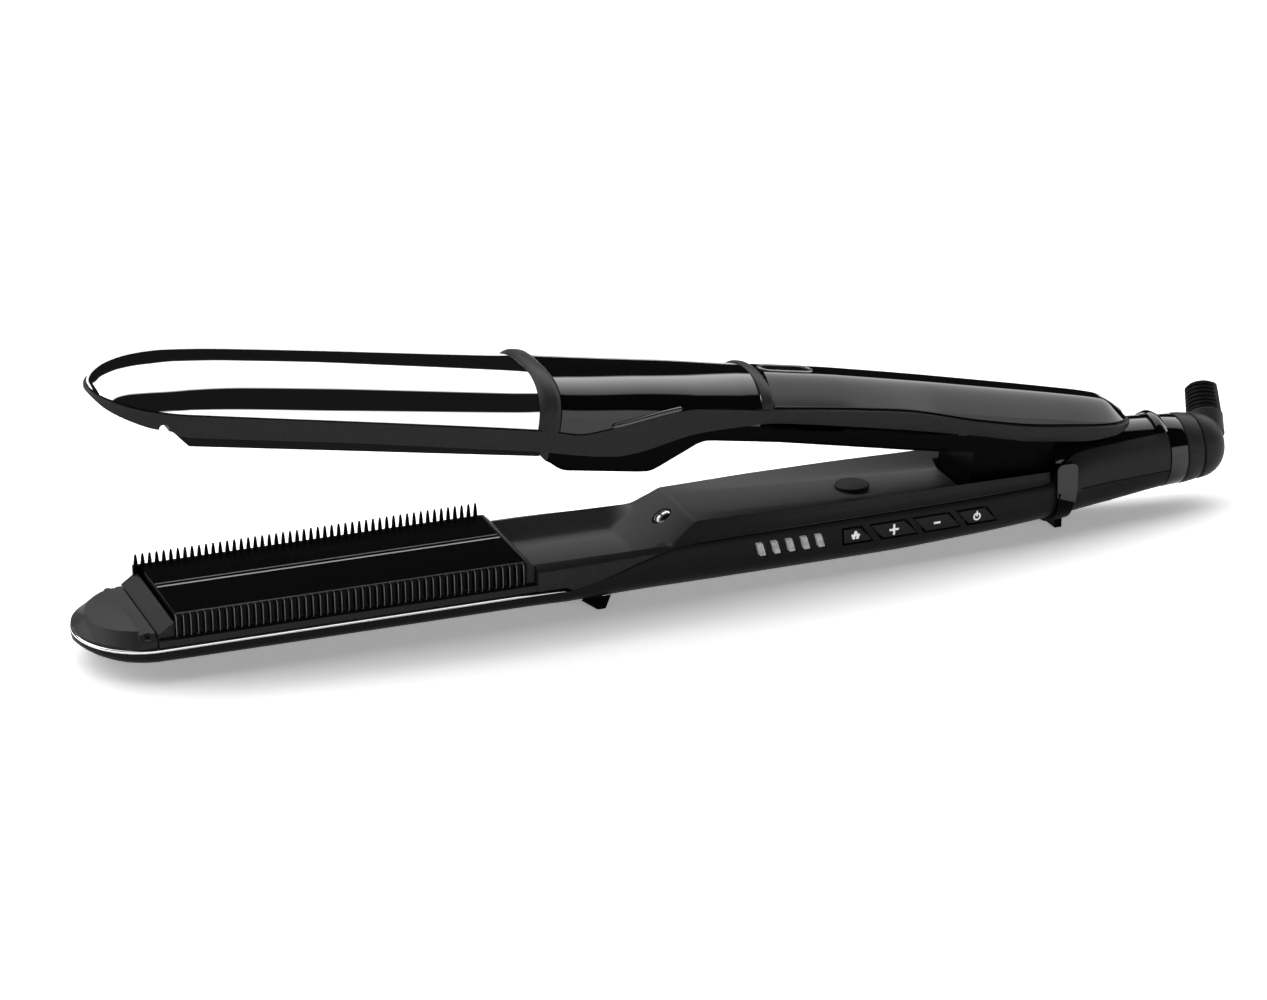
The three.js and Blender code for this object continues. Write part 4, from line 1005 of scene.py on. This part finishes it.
def build_handle_frame():
    xs = steps(RING_X, -20, 80) + steps(-19, 7, 26) + [7.8, 8.4, 8.8, 9.1]
    body = build("handle_frame_skin", loft_x(xs, side_band))
    carve(body, [loft_x([RING_X - 1] + xs[2:-4:2], lambda x: band_loop(x, 2.2, 30, -20))])
    tongue = prism_y([
        (-14, 12), (-9, 4), (-4.6, -2), (-3, -4.2), (0, -5.2), (3, -4.2), (5, -1.5), (5, 3), (3, 8), (3, 12),
    ], -4.6, 4.6)
    knuckle = build("knuckle", tongue)
    carve(knuckle, [rod((0, -8, 0), (0, 8, 0), 2.3)])
    carve(body, knuckle, "UNION")
    carve(body, [box(-16, 3.4, -9, 9, 11, 12.1)], "UNION")
    carve(body, [box(-50, -47, -13.6, 13.6, 9, 12)], "UNION")
    place(body, MATTE, "upper_arm", bevel=0.25)


inner_bottom_z = rounded([
    (-174, -1.6), (-169, -4.6), (-142.3, -4.8), (-127.5, 4.1), (-125, 4.3), (-104, 4.3), (-64, 3),
    (-45, 2.6),
], 2.0)
inner_half_width = rounded([(-174, 15.5), (-141, 14), (-128, 12.5), (-104, 12), (-45, 11.4)], 4)


def inner_loop(x):
    low = inner_bottom_z(x)
    high = min(shell_edge_z(x), 9.4) - 1
    half = inner_half_width(x)
    radius = 1.8
    corner = []
    for k in range(7):
        angle = math.pi / 2 * k / 6
        corner.append((half - radius + radius * math.sin(angle), low + radius - radius * math.cos(angle)))
    corner.append((half, high))
    return corner + mirrored(corner)


def build_inner_housing():
    xs = steps(-174, -166, 10) + steps(-160, -146, 3) + steps(-143, -123, 24)
    xs += [-110, -104, -90, -70, -64, -51]
    body = build("inner_housing_skin", loft_x(xs, inner_loop))
    carve(body, [box(-171, -53, -9.5, 9.5, 4.9, 30)])
    carve(body, [box(-171, -143, -9.5, 9.5, -2.4, 10)])
    skirt = build("skirt", prism_y([
        (-52, 2.9), (-42.2, 2.9), (-42.2, -9.6), (-17, -9.6), (-17, 10.4), (-46.6, 10.4),
        (-46.6, 8.4), (-52, 8.4),
    ], -10.2, 10.2))
    carve(skirt, [prism_y([
        (-53, 4.2), (-41, 4.2), (-41, -10.6), (-18.2, -10.6), (-18.2, 11.4), (-53, 11.4),
    ], -9, 9)])
    carve(body, skirt, "UNION")
    carve(body, [rod(along_screw(-1), along_screw(2), 4)])
    # Painted shade: the inner housing between the arms is near-black with barely any reflection, standing in
    # for the shade there.
    place(body, DARK_PLASTIC_AND_SHADE, "upper_arm", bevel=0.3)


# ---- tank
TANK_FRONT = -108.6
TANK_SLOPE = 0.44
RELEASE_X = -100.6
RELEASE_HALF_LENGTH = 8.5
RELEASE_HALF_WIDTH = 3.1


def tank_drop(t, flat=0.2, bend=3.5):
    """Fall of the tank from its crest at t of the half width: flat on top, then steady slopes."""
    t = max(abs(t) - flat, 0) / (1 - flat)
    return (math.hypot(1, bend * t) - 1) / (math.hypot(1, bend) - 1)


def tank_crest(x):
    return crest_z(x) + 0.3 + 0.6 * smooth(x, -110, -85)


def tank_loop(x, lift=0.0):
    edge = shell_edge_z(x) + 0.3
    width = max(upper_width(x, 1.4) + lift, 0.5)
    crest = tank_crest(x) + lift - 1.5 * smooth(x, 0, 9)
    rise = clamp(crest - edge, 0.3, TANK_SLOPE * width)
    loop = [(width * t, crest - rise * tank_drop(t)) for t in steps(1, -1, 56)]
    return loop + [(-width, edge - 0.25), (width, edge - 0.25)]


def plinth_loop(x):
    """Inset foot of the tank that closes the gap above the frame."""
    width = max(upper_width(x, 3.2), 0.4)
    edge = shell_edge_z(x)
    low = max(edge - 1.8, 12.2)
    return [(-width, low), (width, low), (width, edge + 0.6), (-width, edge + 0.6)]


def oval(x, half_length, half_width, count=16):
    """Slot outline with round ends, lying along x."""
    reach = half_length - half_width
    outline = []
    for centre, start in ((x + reach, -90), (x - reach, 90)):
        for i in range(count + 1):
            angle = math.radians(start + 180 * i / count)
            outline.append((centre + half_width * math.cos(angle), half_width * math.sin(angle)))
    return outline


def release_outline(grow):
    return oval(RELEASE_X, RELEASE_HALF_LENGTH + grow, RELEASE_HALF_WIDTH + grow)


def build_tank():
    xs = steps(TANK_FRONT, -16, 60) + steps(-15, 6, 21) + [6.5, 6.8]
    skin = build("water_tank_skin", loft_x(xs, tank_loop))
    carve(skin, [loft_x(steps(-104, 4, 40), plinth_loop)], "UNION")
    carve(skin, [box(-92, -52, -10, 10, 12, 15.5)], "UNION")
    carve(skin, [prism_z(release_outline(0.4), 10, 40)])
    carve(skin, [rod((-86, 0, 8), (-86, 0, 15.6), 2.6)])
    place(skin, GLOSS, "tank", bevel=0.2)
    latch = build("tank_release_skin", prism_z(release_outline(0), 17.6, 24))
    carve(latch, [loft_x(steps(-112, -88, 16), lambda x: tank_loop(x, 0.12))], "INTERSECT")
    carve(latch, [prism_z(oval(-101.4, 7.2, 2.0), 20.2, 30)])
    place(latch, BRIGHT, "tank_release", bevel=0.2)
    # A thin ring round the release in the lighter edge grey: a painted highlight on its rim.
    loops = []
    straight_half = RELEASE_HALF_LENGTH - RELEASE_HALF_WIDTH
    for x, y in release_outline(-0.6):
        centre = Vector((x, y, tank_crest(x)))
        nearest = clamp(x, RELEASE_X - straight_half, RELEASE_X + straight_half)
        out = Vector((x - nearest, y, 0)).normalized()
        loops.append([tuple(centre + out * (0.5 * math.cos(a)) + Vector((0, 0, 0.4 * math.sin(a))))
                      for a in circle(10)])
    rim = build("tank_release_rim", loft(loops + loops[:1]))
    place(rim, EDGE_HIGHLIGHT_PAINT, "tank_release")


# ---- springs
def coil(name, x, fixed_z, free_z, radius, wire, turns, body):
    """Wire spring coiled from its end at fixed_z to its end at free_z, carried whole by body."""
    curve = bpy.data.curves.new(name, "CURVE")
    curve.dimensions = "3D"
    curve.bevel_depth = wire * MM
    curve.bevel_resolution = 4
    curve.use_fill_caps = True
    line = curve.splines.new("POLY")
    count = turns * 28
    line.points.add(count)
    inset = math.copysign(wire, free_z - fixed_z)
    arm = arm_of(body)
    for i in range(count + 1):
        angle = 2 * math.pi * turns * i / count
        at = Vector((x + radius * math.cos(angle), radius * math.sin(angle),
                     lerp(fixed_z + inset, free_z - inset, i / count)))
        line.points[i].co = (*(arm @ at), 1)
    path = add("path", curve)
    bpy.context.view_layer.update()
    graph = bpy.context.evaluated_depsgraph_get()
    obj = add(name, bpy.data.meshes.new_from_object(path.evaluated_get(graph)))
    bpy.data.objects.remove(path)
    obj.data.materials.clear()
    obj.data.materials.append(STEEL)
    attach(obj, body)
    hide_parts(name.replace("_wire", ""))
    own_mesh(obj)


build_lower_housing()
build_keys()
build_lower_frame()
build_trim()
build_nose_cap()
build_comb()
build_comb_fins()
build_lower_plate()
build_feet()
build_barrel()
build_cord()
build_plate_half()
build_rings()
build_mid_cover()
build_handle_frame()
build_inner_housing()
build_tank()
coil("opening_spring_wire", -29, -12.6, 12.4, radius=4, wire=0.6, turns=6, body="lower_arm")
for number, spring_x in (("1", -258), ("2", -200)):
    coil("plate_spring_wire_" + number, spring_x, 8.1, 4.9, radius=2.6, wire=0.35, turns=3,
         body="upper_arm")

# ---- CAD nodes kept as they are
KEPT = {
    "lower_heater": MICA, "upper_heater": MICA, "lower_plate_bed": DARK_PLASTIC_AND_SHADE, "upper_plate_bed": DARK_PLASTIC_AND_SHADE,
    "key_board": BOARD, "main_board": BOARD, "steam_chamber": STEEL, "water_tube": DARK_PLASTIC_AND_SHADE,
    "water_pump": PALE, "tank_seat": DARK_PLASTIC_AND_SHADE, "tank_plug": RUBBER,
}
for name, look in KEPT.items():
    node = frame["nodes"][name]
    node.data.materials.clear()
    node.data.materials.append(look)

# ---- studio
floor_mesh = bpy.data.meshes.new("floor")
FLOOR_HALF = 4.0
floor_mesh.from_pydata([(-FLOOR_HALF, -FLOOR_HALF, 0), (FLOOR_HALF, -FLOOR_HALF, 0),
                        (FLOOR_HALF, FLOOR_HALF, 0), (-FLOOR_HALF, FLOOR_HALF, 0)], [], [(0, 1, 2, 3)])
floor = add("floor", floor_mesh)
paper = material("floor_paper", grey(0.9), 0.9, tint=0.005, bump=0.0, grain=4.0, emission=0.3,
                 specular=0.0)
floor_mesh.materials.append(paper)
# The paper lights the flanks of the arms less than it shows, and shows its shadow over a short reach.
paper_nodes, paper_links = paper.node_tree.nodes, paper.node_tree.links
ray = paper_nodes.new("ShaderNodeLightPath")
printed = paper_nodes["Principled BSDF"].outputs["BSDF"]


def paper_layer(level):
    layer = paper_nodes.new("ShaderNodeBsdfDiffuse")
    layer.inputs["Color"].default_value = (*grey(level), 1)
    return layer.outputs["BSDF"]


def paper_choice(ray_kind, otherwise, chosen):
    choice = paper_nodes.new("ShaderNodeMixShader")
    paper_links.new(ray.outputs[ray_kind], choice.inputs["Fac"])
    paper_links.new(otherwise, choice.inputs[1])
    paper_links.new(chosen, choice.inputs[2])
    return choice.outputs["Shader"]


shown = paper_nodes.new("ShaderNodeAddShader")
paper_links.new(printed, shown.inputs[0])
paper_links.new(paper_layer(0.45), shown.inputs[1])
unseen = paper_choice("Is Diffuse Ray", printed, paper_layer(0.2))
paper_links.new(paper_choice("Is Camera Ray", unseen, shown.outputs["Shader"]),
                paper_nodes["Material Output"].inputs["Surface"])

# The sky is described by its angle round the arms, in degrees: 0 at the back horizon, 90 overhead
# and 180 at the front horizon. It has one wide panel, overhead and behind, and a low front sweep.
PANEL_START = 31.0
PANEL_STOP = 88.0
PANEL_NEAR_HORIZON = 3.4
PANEL_OVERHEAD = 1.25
SWEEP_START = 155.0
SWEEP_LEVEL = 1.25
DARK_LEVEL = 0.008
SOFTNESS = 2.0

world = bpy.data.worlds.new("studio")
bpy.context.scene.world = world
world.use_nodes = True
tree = world.node_tree
background = tree.nodes["Background"]
background.inputs["Color"].default_value = (1, 1, 1, 1)
link = tree.links.new


def math_node(operation, *values):
    """Math node fed with sockets or plain numbers."""
    node = tree.nodes.new("ShaderNodeMath")
    node.operation = operation
    for socket, value in zip(node.inputs, values):
        if isinstance(value, bpy.types.NodeSocket):
            link(value, socket)
        else:
            socket.default_value = value
    return node.outputs["Value"]


direction = tree.nodes.new("ShaderNodeTexCoord")
axes = tree.nodes.new("ShaderNodeSeparateXYZ")
link(direction.outputs["Generated"], axes.inputs["Vector"])
angle = math_node("ARCTAN2", math_node("ABSOLUTE", axes.outputs["Z"]), axes.outputs["Y"])
fraction = tree.nodes.new("ShaderNodeMapRange")
fraction.inputs["From Max"].default_value = math.pi
link(angle, fraction.inputs["Value"])
sky = tree.nodes.new("ShaderNodeValToRGB")
link(fraction.outputs["Result"], sky.inputs["Fac"])
BRIGHTEST = max(PANEL_NEAR_HORIZON, SWEEP_LEVEL)
stops = [
    (0, DARK_LEVEL), (PANEL_START - SOFTNESS, DARK_LEVEL), (PANEL_START + SOFTNESS, PANEL_NEAR_HORIZON),
    (PANEL_STOP - SOFTNESS, PANEL_OVERHEAD), (PANEL_STOP + SOFTNESS, DARK_LEVEL),
    (SWEEP_START - SOFTNESS, DARK_LEVEL), (SWEEP_START + SOFTNESS, SWEEP_LEVEL), (180, SWEEP_LEVEL),
]
elements = sky.color_ramp.elements
while len(elements) < len(stops):
    elements.new(0.5)
for element, (degrees, level) in zip(elements, stops):
    element.position = degrees / 180
    element.color = (*grey(level / BRIGHTEST), 1)
strength = math_node("MULTIPLY", sky.outputs["Color"], BRIGHTEST)
# Seen by the camera, the backdrop is plain white.
seen = tree.nodes.new("ShaderNodeLightPath")
shown_level = tree.nodes.new("ShaderNodeMapRange")
link(seen.outputs["Is Camera Ray"], shown_level.inputs["Value"])
link(strength, shown_level.inputs["To Min"])
shown_level.inputs["To Max"].default_value = 1.0
link(shown_level.outputs["Result"], background.inputs["Strength"])

# ---- camera, with its own axes and its place in metres
CAMERA_RIGHT = (0.9321, -0.3623, 0.0)
CAMERA_UP = (0.1346, 0.3462, 0.9285)
CAMERA_BACK = (-0.3364, -0.8654, 0.3715)
CAMERA_PLACE = (-0.40747, -1.09004, 0.49139)
FOCAL_LENGTH = 128.467
lens = bpy.data.cameras.new("camera")
lens.sensor_width = 36
lens.lens = FOCAL_LENGTH
lens.clip_start = 0.01
lens.clip_end = 20
camera = add("camera", lens)
camera.matrix_world = Matrix([
    (*CAMERA_RIGHT, 0), (*CAMERA_UP, 0), (*CAMERA_BACK, 0), (*CAMERA_PLACE, 1),
]).transposed()
bpy.context.scene.camera = camera
bpy.context.scene.view_settings.view_transform = "Standard"
